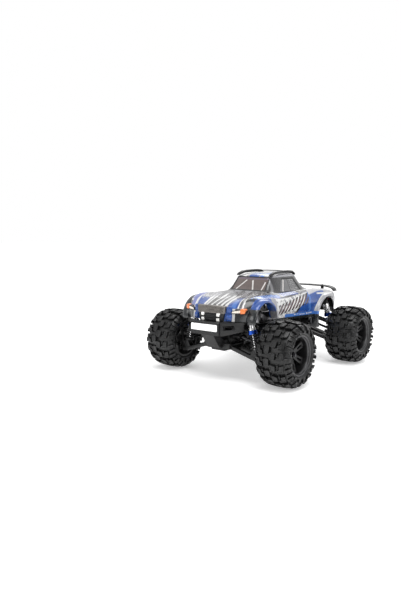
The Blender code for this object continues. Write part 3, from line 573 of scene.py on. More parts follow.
def livery_group():
    """Painted body graphics (brush strokes over the bonnet, slashed doors, blue quarters and dark rockers)
    with painted highlights on the near wing, window pillars, arch lips and bed rails.
    """
    name = "Body livery"
    if name in bpy.data.node_groups:
        return bpy.data.node_groups[name]
    paint = bpy.context.scene.truck_colours
    blue, royal = tuple(paint.sky_blue), tuple(paint.royal_blue)
    silver, white = tuple(paint.silver), tuple(paint.white)
    charcoal, lavender = tuple(paint.charcoal), tuple(paint.lavender)
    dark = (0.012, 0.014, 0.016)
    maroon = (0.085, 0.022, 0.028)
    group, entry, result = new_group(
        name, [], [("Colour", "NodeSocketColor"), ("Roughness", "NodeSocketFloat"),
                   ("Height", "NodeSocketFloat"), ("Flake", "NodeSocketFloat")])
    x, y, z = coordinates(group)
    a = x.size()
    across = x * 0.97 + (y + 118.0) * 0.24
    along = y * 0.97 + x * -0.24
    streak = noise(group, across * 0.34, along * 0.030, z * 0.05, 1.0, 5.0, 0.62)
    flick = noise(group, across * 0.9, along * 0.08, 0.0, 1.0, 4.0, 0.6)
    soft_tone = noise(group, across * 0.10, along * 0.03, z * 0.03, 1.0, 3.0, 0.5)
    sw = across + (streak - 0.5) * 7.0
    tw = along + (flick - 0.5) * 46.0
    base = colour_mix(group, (0.060, 0.060, 0.066), silver, soft_tone.over(0.53, 0.08))
    shadowed = flick.under(0.43, 0.04) * tw.between(-100.0, -52.0, 6.0)
    base = colour_mix(group, base, (0.035, 0.036, 0.040), shadowed)
    base = colour_mix(group, base, white, flick.over(0.62, 0.03) * tw.under(-56.0, 6.0))
    # each stroke: low and high edge across the bonnet, rear end along it, paint
    strokes = (
        (-46, -29, -62, lavender), (-30.5, -26.5, -86, white), (-27, -15, -88, royal), (-15, -8, -78, white),
        (-12.5, -10.0, -60, silver), (-8, 11, -84, charcoal), (-3.0, -0.5, -60, white),
        (4.0, 6.5, -74, white),
        (11, 21, -72, white), (14.0, 17.0, -52, (0.06, 0.06, 0.065)), (22, 34, -88, royal),
        (26, 31, -97, blue), (34, 42, -64, white), (36.5, 39, -52, (0.09, 0.09, 0.10)), (41, 56, -92, dark))
    colour = base
    for low, high, reach, tint in strokes:
        mask = sw.between(low, high, 0.35) * tw.under(reach, 2.0) * z.over(92.0, 1.0)
        colour = colour_mix(group, colour, tint, mask)
    # near and far front wings
    wing = x.over(40.0, 1.2) * tw.between(-99.0, -44.0, 4.0)
    # painted highlight: the sky blue left on the top of the near wing above the royal sides, and the ragged
    # white streak along its crest
    colour = colour_mix(group, colour, blue, wing)
    colour = colour_mix(group, colour, royal, wing * (z + (streak - 0.5) * 8).under(102.4, 0.8))
    colour = colour_mix(group, colour, white, wing * sw.between(41.0, 44.5, 0.6) * flick.over(0.5, 0.05))
    far_wing = x.under(-41.0, 1.2) * y.between(-116.0, -50.0, 3.0)
    colour = colour_mix(group, colour, dark, far_wing * (z + (streak - 0.5) * 6).under(98.0, 0.8))
    colour = colour_mix(group, colour, white, far_wing * (z + (streak - 0.5) * 6).between(96.6, 98.8, 0.3))
    # roof and cab
    roof = z.over(122.0, 0.6)
    colour = colour_mix(group, colour, silver, roof)
    colour = colour_mix(group, colour, royal, roof * (x + (streak - 0.5) * 8).between(-7.0, 9.0, 0.6)
                        * (y + (flick - 0.5) * 26).under(-13.0, 1.5))
    colour = colour_mix(group, colour, blue, roof * (x + (streak - 0.5) * 10).between(11.0, 16.0, 0.6)
                        * (y + (flick - 0.5) * 30).under(14.0, 2.0))
    colour = colour_mix(group, colour, white, roof * (x + (streak - 0.5) * 9).between(-17.0, -11.0, 0.6)
                        * (y + (flick - 0.5) * 30).under(8.0, 2.0))
    pillar = z.between(103.5, 124.5, 0.6) * y.between(-46.0, 50.0, 0.6)
    colour = colour_mix(group, colour, (0.030, 0.030, 0.032), pillar)
    highlight = (a - 31.6 + (z - 112.0) * 0.56).size().under(0.8, 0.5) * y.under(-18.0, 1.0)
    highlight = highlight.either((y - 39.5 + (z - 112.0) * 0.35).size().under(1.0, 0.6) * a.over(28.0, 0.5))
    colour = colour_mix(group, colour, (0.17, 0.17, 0.18), highlight * pillar)
    # body sides
    side = a.over(47.6, 0.5) * z.under(103.5, 0.4)
    door_tone = noise(group, y * 0.16, z * 0.16, x * 0.02, 1.0, 4.0, 0.6)
    door = colour_mix(group, white, (0.22, 0.22, 0.235), door_tone.over(0.54, 0.05))
    lean = y - (z - 70.0) * 1.05 + (door_tone - 0.5) * 1.2
    band_mid = z - (y + 47.0) * 0.13
    bars = ((lean + 200.0) / 8.2).fraction()
    reach = (door_tone - 0.5) * 3.0 + band_mid
    slashes = bars.between(0.12, 0.72, 0.035) * reach.between(77.0, 90.5, 0.5) * y.between(-47.0, 34.0, 0.8)
    inner = bars.between(0.24, 0.56, 0.03) * reach.between(78.6, 88.8, 0.4) * y.between(-45.5, 32.5, 0.8)
    edge = y - (z - 70.0) * 1.28 + (streak - 0.5) * 4.0
    quarter = edge.over(-6.0, 0.5) * y.under(120.0, 1.0)
    door = colour_mix(group, door, dark, edge.between(-12.0, -5.0, 0.6) * z.under(84.0, 2.0))
    door = colour_mix(group, door, royal, quarter)
    door = colour_mix(group, door, blue, quarter * (y + (door_tone - 0.5) * 12).between(34.0, 40.0, 1.4))
    door = colour_mix(group, door, dark, slashes)
    door = colour_mix(group, door, maroon, inner)
    ry, rz = y - REAR_ARCH[0], z - REAR_ARCH[1]
    rear_reach = (ry * ry + rz * rz).math("SQRT")
    door = colour_mix(group, door, silver, (y - (z - 90.0) * 0.8).over(70.0, 2.0) * z.over(88.0, 1.0))
    door = colour_mix(group, door, (0.30, 0.30, 0.32), rear_reach.under(36.5, 0.3) * y.over(40.0, 1.0))
    # painted highlight: a thin white band round the edge of the rear arch flare
    door = colour_mix(group, door, white, rear_reach.between(34.6, 36.4, 0.3) * y.between(52.0, 92.0, 3.0))
    rail_glint = (z - (y - 60.0) * -0.05).between(97.6, 99.8, 0.5) * y.over(58.0, 3.0)
    door = colour_mix(group, door, white, rail_glint)
    door = colour_mix(group, door, silver, y.over(106.0, 0.8))
    fy, fz = y - FRONT_ARCH[0], z - FRONT_ARCH[1]
    front_reach = (fy * fy + fz * fz).math("SQRT")
    front_side = y.under(-58.0, 0.8)
    door = colour_mix(group, door, royal, front_side * x.over(0.0, 1.0))
    door = colour_mix(group, door, dark, front_side * x.under(0.0, 1.0))
    door = colour_mix(group, door, dark, y.under(-104.0, 1.0) * z.under(92.0, 0.6))
    near_flare = front_reach.under(28.8, 0.3) * y.under(-63.0, 1.5) * x.over(0.0, 1.0)
    door = colour_mix(group, door, royal, near_flare)
    door = colour_mix(group, door, (0.26, 0.26, 0.28), y.between(-63.0, -51.0, 1.2))
    # painted highlight: a thin white band along the top of the front arch lip
    door = colour_mix(group, door, white, front_reach.between(27.0, 28.6, 0.2) * y.between(-72.0, -56.0, 1.5))
    sill = z + (y + 50.0) * 0.045
    door = colour_mix(group, door, blue, sill.under(78.6, 0.3) * y.between(-30.0, 58.0, 1.0))
    spots = noise(group, y * 0.32, z * 0.5, 0.0, 1.0, 1.0, 0.4)
    door = colour_mix(group, door, white, sill.between(75.8, 77.8, 0.4) * y.between(-6.0, 46.0, 2.0)
                      * spots.over(0.56, 0.03))
    door = colour_mix(group, door, dark, sill.under(74.4, 0.3) * y.between(-62.0, 58.0, 0.5))
    colour = colour_mix(group, colour, door, side)
    # belt strip under the side glass, bed rails, load bed
    belt = a.between(37.6, 47.6, 0.4) * z.under(104.4, 0.3) * y.between(-27.0, 12.0, 1.2)
    colour = colour_mix(group, colour, (0.02, 0.05, 0.20), belt * (z + (flick - 0.5) * 2).over(101.0, 0.5))
    rail = a.over(40.0, 0.3) * y.over(36.0, 1.0) * z.over(96.8, 0.5)
    colour = colour_mix(group, colour, (0.46, 0.46, 0.48), rail * a.under(49.8, 0.6))
    bed = a.under(40.0, 0.3) * y.over(50.5, 0.5)
    colour = colour_mix(group, colour, charcoal, bed)
    # nose
    nose = (y - x * x * 0.00494).under(-115.5, 0.6) * z.under(91.5, 0.4)
    colour = colour_mix(group, colour, royal, nose * a.between(18.5, 28.6, 0.3))
    colour = colour_mix(group, colour, white, nose * a.between(28.6, 32.2, 0.3))
    colour = colour_mix(group, colour, dark, nose * a.over(32.2, 0.3))
    colour = colour_mix(group, colour, dark, nose * a.under(18.5, 0.3))
    group.links.new(colour, result.inputs["Colour"])
    haze = noise(group, x, y, z, 0.35, 4.0, 0.6)
    group.links.new((haze * 0.16 + 0.17).socket, result.inputs["Roughness"])
    flake = noise(group, x, y, z, 6.0, 1.0, 0.5)
    group.links.new((flake.over(0.62, 0.05) * 0.35).socket, result.inputs["Flake"])
    seams = (y + 33.5 + (z - 90.0) * 0.10).size().under(0.35, 0.25) * a.over(44.0, 0.3) * z.under(103.0, 0.4)
    door_rear = (y - 35.5).size().under(0.35, 0.25) * a.over(44.0, 0.3) * z.under(103.8, 0.4)
    bonnet_edge = (a - 37.6 - (y + 84.0) * 0.02).size().under(0.32, 0.22) * y.between(-114.0, -48.0, 0.5)
    door_foot = (z - 80.0 - (y + 50.0) * -0.045).size().under(0.35, 0.3) * side * y.between(-33.0, 35.0, 0.4)
    for seam in (door_rear, bonnet_edge, door_foot):
        seams = seams.either(seam)
    handle = (y - 24.0).size().under(4.0, 0.3) * (z - 97.2).size().under(1.1, 0.3) * a.over(48.0, 0.3)
    height = seams * -1.0 + handle * 0.7 + flake * 0.02
    group.links.new(height.socket, result.inputs["Height"])
    return group


def livery_material(name):
    made, tree, shader = start_material(name)
    group = tree.nodes.new("ShaderNodeGroup")
    group.node_tree = livery_group()
    tree.links.new(group.outputs["Colour"], shader.inputs["Base Color"])
    tree.links.new(group.outputs["Roughness"], shader.inputs["Roughness"])
    tree.links.new(group.outputs["Flake"], shader.inputs["Metallic"])
    shader.inputs["Coat Weight"].default_value = 0.5
    shader.inputs["Coat Roughness"].default_value = 0.08
    bump(tree, shader, group.outputs["Height"], 0.35)
    return made


def window_material(name):
    """Smoked glazing with the painted roll cage, quarter light and louvres behind it."""
    made, tree, shader = start_material(name)
    x, y, z = coordinates(tree)
    a = x.size()
    cloud = noise(tree, x, y, z, 0.10, 3.0, 0.55)
    front = y.under(-25.5, 0.6) * a.under(30.0, 0.5)
    colour = colour_mix(tree, (0.070, 0.070, 0.074), (0.125, 0.125, 0.13), cloud)
    smoked = colour_mix(tree, (0.060, 0.046, 0.042), (0.125, 0.088, 0.080), cloud)
    colour = colour_mix(tree, colour, smoked, front)
    strip = front * z.over(121.6, 0.4)
    colour = colour_mix(tree, colour, (0.115, 0.085, 0.115), strip)
    louvres = ((z / 2.3).fraction().between(0.18, 0.62, 0.10)) * y.between(8.0, 27.0, 0.5) * a.over(28.5, 0.4)
    colour = colour_mix(tree, colour, (0.030, 0.030, 0.033), louvres * 0.75)
    post = segment(y, z, (5.4, 99.0), (6.8, 124.0), 1.7) * a.over(28.5, 0.4)
    colour = colour_mix(tree, colour, (0.012, 0.012, 0.013), post)
    cage = segment(x, z, (-21.0, 106.5), (-7.6, 120.6), 1.7)
    cage = cage.either(segment(x, z, (9.2, 106.0), (2.0, 120.4), 1.9))
    cage = cage.either(segment(x, z, (21.0, 106.0), (22.0, 118.6), 1.7)) * front
    cabin = segment(y, z, (-16.6, 101.0), (-2.2, 121.0), 1.7)
    cabin = cabin.either(segment(y, z, (-12.4, 107.0), (-6.6, 101.0), 1.3)) * a.over(28.5, 0.4)
    colour = colour_mix(tree, colour, (0.62, 0.60, 0.58), cage.either(cabin))
    tree.links.new(colour, shader.inputs["Base Color"])
    tree.links.new((cloud * 0.14 + 0.10).socket, shader.inputs["Roughness"])
    shader.inputs["Coat Weight"].default_value = 0.6
    shader.inputs["Coat Roughness"].default_value = 0.06
    bump(tree, shader, (louvres * -1.0 + cage.either(cabin) * 0.5).socket, 0.15)
    return made


def lamp_material(name, colour, glow, ribs, axis):
    """Moulded lens with fine ribs and a faint glow."""
    made, tree, shader = start_material(name)
    x, y, z = coordinates(tree)
    value = {"X": x, "Z": z}[axis]
    wave = (value * ribs).math("SINE")
    cloud = noise(tree, x, y, z, 0.6, 3.0, 0.5)
    lit = colour_mix(tree, colour, tuple(channel * 0.72 for channel in colour), wave.between(0.55, 1.2, 0.25))
    lit = colour_mix(tree, lit, tuple(channel * 0.85 for channel in colour), cloud.over(0.6, 0.1))
    tree.links.new(lit, shader.inputs["Base Color"])
    tree.links.new(lit, shader.inputs["Emission Color"])
    shader.inputs["Emission Strength"].default_value = glow
    tree.links.new((cloud * 0.12 + 0.08).socket, shader.inputs["Roughness"])
    shader.inputs["Coat Weight"].default_value = 0.7
    bump(tree, shader, wave.socket, 0.08)
    return made


def tyre_material(name):
    """Rubber with a dusty bloom and light scuffs."""
    made, tree, shader = start_material(name)
    group = tree.nodes.new("ShaderNodeGroup")
    group.node_tree = surface_group()
    tint = bpy.context.scene.truck_colours.rubber
    group.inputs["Colour"].default_value = (*tint, 1)
    group.inputs["Scuff Colour"].default_value = (0.020, 0.0195, 0.019, 1)
    group.inputs["Roughness"].default_value = 0.37
    group.inputs["Scuffs"].default_value = 0.20
    group.inputs["Grain"].default_value = 0.8
    group.inputs["Mottle"].default_value = 0.35
    tree.links.new(group.outputs["Colour"], shader.inputs["Base Color"])
    tree.links.new(group.outputs["Roughness"], shader.inputs["Roughness"])
    shader.inputs["Specular IOR Level"].default_value = 0.45
    bump(tree, shader, group.outputs["Height"], 0.10)
    return made


def floor_material(name):
    made, tree, shader = start_material(name)
    x, y, z = coordinates(tree)
    tone = noise(tree, x, y, z, 0.004, 2.0, 0.5)
    pale = colour_mix(tree, (0.90, 0.90, 0.90), (0.93, 0.93, 0.93), tone)
    tree.links.new(pale, shader.inputs["Base Color"])
    tree.links.new(pale, shader.inputs["Emission Color"])
    shader.inputs["Emission Strength"].default_value = 0.38
    shader.inputs["Roughness"].default_value = 0.9
    shader.inputs["Specular IOR Level"].default_value = 0.1
    return made


GREY_SCUFF = (0.11, 0.11, 0.115)
PALE_SCUFF = (0.2, 0.2, 0.2)
# colour, roughness, scuff colour, scuffs, then grain, mottle and bump depth where they aren't the usual
MOULDED = {
    "window_seal": ((0.012, 0.012, 0.013), 0.45, GREY_SCUFF, 0.15, 1.4),
    # inner wall of the shell: near black, partly its own dark inside and partly painted shade of the cavity
    # under the shell
    "shell_inside": ((0.006, 0.006, 0.0065), 0.7, GREY_SCUFF, 0.2, 0.6),
    "black_nylon": ((0.009, 0.009, 0.0095), 0.42, GREY_SCUFF, 0.38, 1.0, 0.4, 0.07),
    "arm_nylon": ((0.009, 0.009, 0.0095), 0.34, GREY_SCUFF, 0.32, 1.3, 0.4, 0.05),
    "bumper_nylon": ((0.010, 0.010, 0.0105), 0.44, GREY_SCUFF, 0.45, 0.9, 0.4, 0.09),
    "trim_nylon": ((0.011, 0.011, 0.012), 0.32, PALE_SCUFF, 0.3, 1.2, 0.4, 0.05),
    "wheel_nylon": ((0.007, 0.007, 0.0075), 0.34, GREY_SCUFF, 0.25, 1.4, 0.35, 0.03),
    "wheel_lip": ((0.045, 0.045, 0.048), 0.28, PALE_SCUFF, 0.3, 1.4, 0.3, 0.02),
    "deck_black": ((0.010, 0.010, 0.011), 0.52, GREY_SCUFF, 0.5, 0.8, 0.4, 0.08),
    "battery_sleeve": ((0.012, 0.013, 0.016), 0.34, (0.1, 0.1, 0.12), 0.15, 0.35, 0.3, 0.10),
    "gear_nylon": ((0.60, 0.58, 0.53), 0.45, (0.30, 0.28, 0.24), 0.5, 1.0, 0.3),
    "grille_grey": ((0.215, 0.200, 0.185), 0.30, (0.5, 0.48, 0.45), 0.25, 1.2, 0.4, 0.03),
    "blue_plastic": ("royal_blue", 0.20, (0.3, 0.4, 0.8), 0.15, 0.8, 0.4, 0.02),
    "spring_wire": ((0.008, 0.008, 0.009), 0.38, (0.25, 0.25, 0.26), 0.35, 1.2, 0.4, 0.02),
}
MOULDED_EXTRAS = {
    "battery_sleeve": {"coat": 0.3},
    "grille_grey": {"metallic": 0.55},
    "blue_plastic": {"coat": 0.5},
}
# colour, roughness
METALS = {
    "polished_alloy": ((0.80, 0.80, 0.81), 0.20),
    "blue_alloy": ("anodised_blue", 0.24),
    "plain_steel": ((0.52, 0.52, 0.54), 0.28),
    "dark_steel": ((0.07, 0.07, 0.075), 0.32),
    "motor_shell": ((0.42, 0.42, 0.44), 0.30),
}
# colour, glow, ribs per millimetre, axis across the ribs
LENSES = {
    "white_lens": ((0.92, 0.92, 0.93), 0.55, 2.3, "Z"),
    "lamp_white": ((0.90, 0.89, 0.86), 0.35, 3.2, "X"),
    "lamp_cream": ((0.74, 0.68, 0.60), 0.18, 3.0, "X"),
    "lamp_amber": ((0.80, 0.19, 0.035), 0.20, 3.4, "Z"),
    "lamp_red": ((0.45, 0.012, 0.012), 0.10, 3.0, "Z"),
}
SPECIAL_FINISHES = {
    "body_livery": livery_material,
    "smoked_window": window_material,
    "tread_rubber": tyre_material,
    "pale_floor": floor_material,
}


def user_colour(value):
    """A colour given by name is one that the user can change."""
    if isinstance(value, str):
        return tuple(getattr(bpy.context.scene.truck_colours, value))
    return value


def material(name):
    """Each finish is made once, the first time it's asked for."""
    if name in bpy.data.materials:
        return bpy.data.materials[name]
    if name in SPECIAL_FINISHES:
        return SPECIAL_FINISHES[name](name)
    if name in METALS:
        colour, roughness = METALS[name]
        return metal_material(name, user_colour(colour), roughness)
    if name in LENSES:
        return lamp_material(name, *LENSES[name])
    colour, *values = MOULDED[name]
    return surface_material(name, user_colour(colour), *values, **MOULDED_EXTRAS.get(name, {}))


# ---------------------------------------------------------------- sizes and colours

def colour_property(label, about, value):
    return bpy.props.FloatVectorProperty(name=label, description=about, subtype="COLOR", size=3,
                                         min=0.0, max=1.0, default=value)


def length_property(label, about, value):
    return bpy.props.FloatProperty(name=label, description=about, default=value, min=0.0, unit="LENGTH",
                                   precision=5)


class TruckSizes(bpy.types.PropertyGroup):
    lug_depth: length_property("Lug Depth", "Height of the tread blocks over the carcass", 0.0034)
    tread_pitches: bpy.props.IntProperty(name="Tread Pitches", default=17, min=8, max=30,
                                         description="Repeats of the tread round a tyre")
    spokes: bpy.props.IntProperty(name="Spokes", default=6, min=3, max=10,
                                  description="Split spokes in each wheel")
    shell_wall: length_property("Shell Wall", "Thickness of the body shell", 0.0015)
    spring_turns: bpy.props.IntProperty(name="Spring Turns", description="Turns in each damper spring",
                                        default=5, min=3, max=9)
    spring_wire: length_property("Spring Wire", "Radius of the spring wire", 0.00065)


class TruckColours(bpy.types.PropertyGroup):
    royal_blue: colour_property("Royal Blue", "Main body blue", (0.010, 0.060, 0.270))
    sky_blue: colour_property("Sky Blue", "Lighter blue of the wings", (0.045, 0.140, 0.430))
    lavender: colour_property("Lavender", "Pale violet blue of the far wing", (0.140, 0.170, 0.400))
    silver: colour_property("Silver", "Light grey of the roof and bonnet", (0.260, 0.260, 0.280))
    white: colour_property("White", "Brush strokes and door panels", (0.620, 0.620, 0.615))
    charcoal: colour_property("Charcoal", "Dark stroke on the bonnet and load bed", (0.030, 0.030, 0.031))
    rubber: colour_property("Rubber", "Tyre rubber", (0.0060, 0.0060, 0.0064))
    anodised_blue: colour_property("Anodised Blue", "Damper collars", (0.030, 0.110, 0.560))


# ---------------------------------------------------------------- body shell pieces

def shell_rows():
    rows = []
    for station, bow, half in SHELL_STATIONS:
        ring = [Vector((x, station + bow * (x / 45.0) ** 2, z)) for x, z in half]
        rows.append([Vector((-p.x, p.y, p.z)) for p in reversed(ring[1:])] + ring)
    for index, low in ((0, 76.2), (-1, 74.0)):
        reach = 1.6 if index else -1.6
        lip = [Vector((p.x * 0.985, p.y + (0.0 if abs(p.x) > 40 else reach), min(low, p.z - 0.4)))
               for p in rows[index]]
        rows.insert(0 if index == 0 else len(rows), lip)
    return rows


def shell_surface():
    """Grid drawn onto the body lines, creased where panels turn sharply, then smoothed."""
    rows = shell_rows()
    columns = len(rows[0])
    deselect()
    bpy.ops.mesh.primitive_grid_add(x_subdivisions=columns - 1, y_subdivisions=len(rows) - 1, size=2)
    shell = bpy.context.object
    if len(shell.data.vertices) != columns * len(rows):
        raise RuntimeError("the body grid doesn't match the body lines")
    for vertex in shell.data.vertices:
        column = round((vertex.co.x + 1) / 2 * (columns - 1))
        row = round((vertex.co.y + 1) / 2 * (len(rows) - 1))
        vertex.co = rows[row][column] * MM
    edit(shell)
    bpy.ops.mesh.remove_doubles(threshold=0.0009)
    bpy.ops.mesh.normals_make_consistent(inside=False)
    object_mode()
    crown = max(shell.data.polygons, key=lambda face: face.center.z)
    if crown.normal.z < 0:
        shell.data.flip_normals()
    crease_by_angle(shell)
    activate(shell)
    smooth = shell.modifiers.new("Smooth panels", "SUBSURF")
    smooth.levels = 2
    smooth.render_levels = 2
    bpy.ops.object.modifier_apply(modifier=smooth.name)
    return shell


def crease_by_angle(shell):
    mesh = shell.data
    normals = {}
    for face in mesh.polygons:
        for key in face.edge_keys:
            normals.setdefault(key, []).append(face.normal.copy())
    crease = mesh.attributes.new("crease_edge", "FLOAT", "EDGE")
    for edge in mesh.edges:
        sides = normals.get(tuple(sorted(edge.vertices)), [])
        value = 1.0 if len(sides) < 2 else 0.0
        if len(sides) == 2:
            angle = math.degrees(sides[0].angle(sides[1], 0.0))
            value = 0.92 if angle > 48 else 0.8 if angle > 26 else 0.0
        crease.data[edge.index].value = value


def face_select(item, test):
    """Select, in edit mode, the faces whose centre and normal pass the test."""
    object_mode()
    for vertex in item.data.vertices:
        vertex.select = False
    for edge in item.data.edges:
        edge.select = False
    chosen = 0
    for face in item.data.polygons:
        face.select = bool(test(face.center / MM, face.normal))
        chosen += face.select
    bpy.ops.object.mode_set(mode="EDIT")
    bpy.ops.mesh.select_mode(type="FACE")
    return chosen


def window_opening(shell, region, planes, recess=0.0006, seal=0.0014):
    """Cut a window outline into the panel, then set a seal round it and sink the glazing."""
    for point, normal in planes:
        face_select(shell, region)
        bpy.ops.mesh.bisect(plane_co=Vector(point) * MM, plane_no=normal, use_fill=False)

    def inside(centre, normal):
        return region(centre, normal) and all(
            (centre - Vector(point)).dot(Vector(direction)) < 0 for point, direction in planes)

    if face_select(shell, inside) == 0:
        raise RuntimeError("a window found no faces")
    shell.active_material_index = 2
    bpy.ops.object.material_slot_assign()
    bpy.ops.mesh.inset(thickness=seal, depth=-recess, use_boundary=True, use_even_offset=True)
    shell.active_material_index = 1
    bpy.ops.object.material_slot_assign()
    object_mode()


def wheel_arch_flare(arch, floor, side):
    """Rounded lip swept round a wheel arch."""
    y, z, radius = arch
    section = [(46.0, radius), (57.0, radius), (57.7, radius + 0.9), (57.6, radius + 2.2),
               (56.2, radius + 3.6), (53.4, radius + 4.2), (46.0, radius + 4.2)]
    start = math.asin((floor - z) / radius)
    made = outline_ring([(side * x, z + r) for x, r in section], "Y", y)
    sweep = math.pi - 2 * start
    turn = Matrix.Rotation(-sweep / 2, 4, "X")
    hub = Matrix.Translation(Vector((0, y, z)) * MM)
    moved(made, hub @ turn @ hub.inverted())
    edit(made)
    bpy.ops.mesh.spin(steps=36, angle=sweep, center=Vector((0, y, z)) * MM, axis=(1, 0, 0),
                      use_auto_merge=False)
    bpy.ops.mesh.select_all(action="SELECT")
    bpy.ops.mesh.normals_make_consistent(inside=False)
    object_mode()
    lowest = min(vertex.co.z for vertex in made.data.vertices) / MM
    if lowest < floor - 8:  # the sweep ran round the bottom of the wheel
        moved(made, hub @ Matrix.Rotation(math.pi, 4, "X") @ hub.inverted())
    return bevel_edges(made, 0.4, 2, 40)


class TRUCK_OT_body_shell(bpy.types.Operator):
    """Build the painted shell with its windows, wheel arches and flares"""
    bl_idname = "truck.body_shell"
    bl_label = "Body Shell"

    def execute(self, context):
        shell = shell_surface()
        for look in SHELL_LOOKS:
            shell.data.materials.append(material(look))
        activate(shell)
        wall = shell.modifiers.new("Shell wall", "SOLIDIFY")
        wall.thickness = context.scene.truck_sizes.shell_wall
        wall.offset = -1.0
        wall.use_even_offset = True
        wall.thickness_clamp = 1.5
        wall.material_offset = 3
        bpy.ops.object.modifier_apply(modifier=wall.name)
        for y, z, radius in (FRONT_ARCH, REAR_ARCH):
            for low, high in ((-70, -36), (36, 70)):
                shell = cut(shell, rod((low, y, z), (high, y, z), radius, 64))
        window_opening(
            shell, lambda c, n: -46 < c.y < -23 and abs(c.x) < 37 and c.z > 104 and n.y < -0.2,
            [((0, 0, 107.9), (0, 0.0, -1)), ((0, 0, 125.2), (0, 0, 1)),
             ((27.6, 0, 108), (0.955, 0, 0.12)), ((-27.6, 0, 108), (-0.955, 0, 0.12))])
        for side in (-1, 1):
            window_opening(
                shell, lambda c, n: (side * c.x > 26 and -32 < c.y < 36 and 101 < c.z < 127
                                     and side * n.x > 0.5),
                [((0, 0, 104.6), (0, -0.02, -1)), ((0, 0, 122.6), (0, 0.0, 1)),
                 ((0, -23.0, 104), (0, -0.76, 0.64)), ((0, 31.5, 104), (0, 0.92, 0.38))])
        window_opening(
            shell, lambda c, n: 33 < c.y < 52 and abs(c.x) < 30 and c.z > 105 and n.y > 0.3,
            [((0, 0, 110.0), (0, 0, -1)), ((0, 0, 119.5), (0, 0, 1)),
             ((19.0, 0, 108), (1, 0, 0)), ((-19.0, 0, 108), (-1, 0, 0))])
        fit(shell, "painted_shell", "shell", SHELL_LOOKS, "shell_paint", "body_shell", smooth=34)
        for arch, floor, end in ((FRONT_ARCH, FRONT_SILL, "front"), (REAR_ARCH, REAR_SILL, "rear")):
            for side, word in ((1, "left"), (-1, "right")):
                flare = wheel_arch_flare(arch, floor, side)
                fit(flare, end + "_" + word + "_arch_flare", "shell", "body_livery", "shell_paint")
        return {"FINISHED"}


def bow_to_nose(item, bow=10.0):
    """Bend a flat front piece back along the bow of the nose."""
    for vertex in item.data.vertices:
        vertex.co.y += bow * (vertex.co.x / MM / 45.0) ** 2 * MM
    item.data.update()
    return item


def subdivided(item, cuts=6):
    edit(item)
    bpy.ops.mesh.subdivide(number_cuts=cuts)
    object_mode()
    return item


class TRUCK_OT_nose_details(bpy.types.Operator):
    """Build the grille, lower intake, square lamps, headlights and blue nose blocks"""
    bl_idname = "truck.nose_details"
    bl_label = "Nose Details"

    def execute(self, context):
        surround = prism([(-21.4, 94.6), (-20.2, 85.2), (20.2, 85.2), (21.4, 94.6)], "Y", -124.6, -120.4)
        mouth = prism([(-19.8, 93.4), (-18.9, 86.3), (18.9, 86.3), (19.8, 93.4)], "Y", -130.0, -123.2)
        surround = bevel_edges(cut(surround, mouth), 0.3)
        ribs = [block((-19.9, 19.9), (-124.5, -123.0), (86.6 + 1.42 * step, 87.5 + 1.42 * step), 0.2, 1)
                for step in range(5)]
        grille = bow_to_nose(gather([surround, *ribs]))
        fit(grille, "grille", "shell", "grille_grey", "trim_plastic")

        mouth_line = [(-19.6, 84.9), (-18.2, 76.4), (-17.2, 74.0), (17.2, 74.0), (18.2, 76.4), (19.6, 84.9)]
        intake = prism(mouth_line, "Y", -124.2, -121.0)
        intake = cut(intake, block((-14.2, 14.2), (-130, -123.4), (80.9, 84.2)),
                     block((-13.4, 13.4), (-130, -123.4), (77.0, 79.6)))
        slats = [block((-14.4, 14.4), (-125.2, -123.0), (z, z + 0.9), 0.2, 1) for z in (82.1, 79.7, 77.8)]
        intake = bow_to_nose(gather([bevel_edges(intake, 0.25), *slats]))
        fit(intake, "lower_intake", "shell", "trim_nylon", "trim_plastic")

        for side, word in ((1, "left"), (-1, "right")):
            for level, (x, z, half) in (("upper", (12.0, 83.5, 1.9)), ("lower", (11.7, 77.6, 1.75))):
                lamp = block((side * x - half, side * x + half), (-126.0, -123.2), (z - half, z + half),
                             0.5, 3)
                name = "square_lamp_" + level + "_" + word
                fit(bow_to_nose(lamp), name, "shell", "lamp_white", "lamp_lens")
            for level, z_low, z_high, reach in (("upper", 86.0, 94.4, -123.8), ("lower", 76.4, 84.2, -125.0)):
                pod = block(sorted((side * 21.8, side * 28.8)), (reach, -119.4), (z_low, z_high), 2.0, 4)
                name = "nose_block_" + level + "_" + word
                fit(bow_to_nose(subdivided(pod, 1)), name, "shell", "blue_plastic", "shell_paint")
            bezel = prism([(side * 28.6, 85.4), (side * 45.6, 86.6), (side * 46.4, 90.2), (side * 41.5, 92.0),
                           (side * 29.4, 89.6)], "Y", -123.8, -118.0)
            bezel = bow_to_nose(subdivided(bevel_edges(bezel, 0.6), 3), 9.2)
            fit(bezel, "headlight_bezel_" + word, "shell", "trim_nylon", "trim_plastic")
            lens = prism([(side * 29.6, 86.6), (side * 39.4, 87.2), (side * 39.8, 90.6), (side * 30.4, 88.9)],
                         "Y", -124.7, -122.0)
            lens = bow_to_nose(subdivided(bevel_edges(lens, 0.5, 3), 3), 9.2)
            fit(lens, "headlight_lens_" + word, "shell", "lamp_cream", "lamp_lens")
            marker = prism([(side * 40.2, 86.4), (side * 44.6, 86.6), (side * 46.0, 89.0),
                            (side * 45.0, 92.2), (side * 42.0, 92.9), (side * 40.2, 91.4)],
                           "Y", -125.1, -118.6)
            marker = bow_to_nose(subdivided(bevel_edges(marker, 0.6, 3), 3), 9.0)
            fit(marker, "side_marker_" + word, "shell", "lamp_amber", "lamp_lens")
            tail = block(sorted((side * 40.0, side * 46.0)), (121.3, 122.9), (84.0, 91.0), 0.6, 3)
            fit(bow_to_nose(tail, -6.0), "tail_lamp_" + word, "shell", "lamp_red", "lamp_lens")
        return {"FINISHED"}


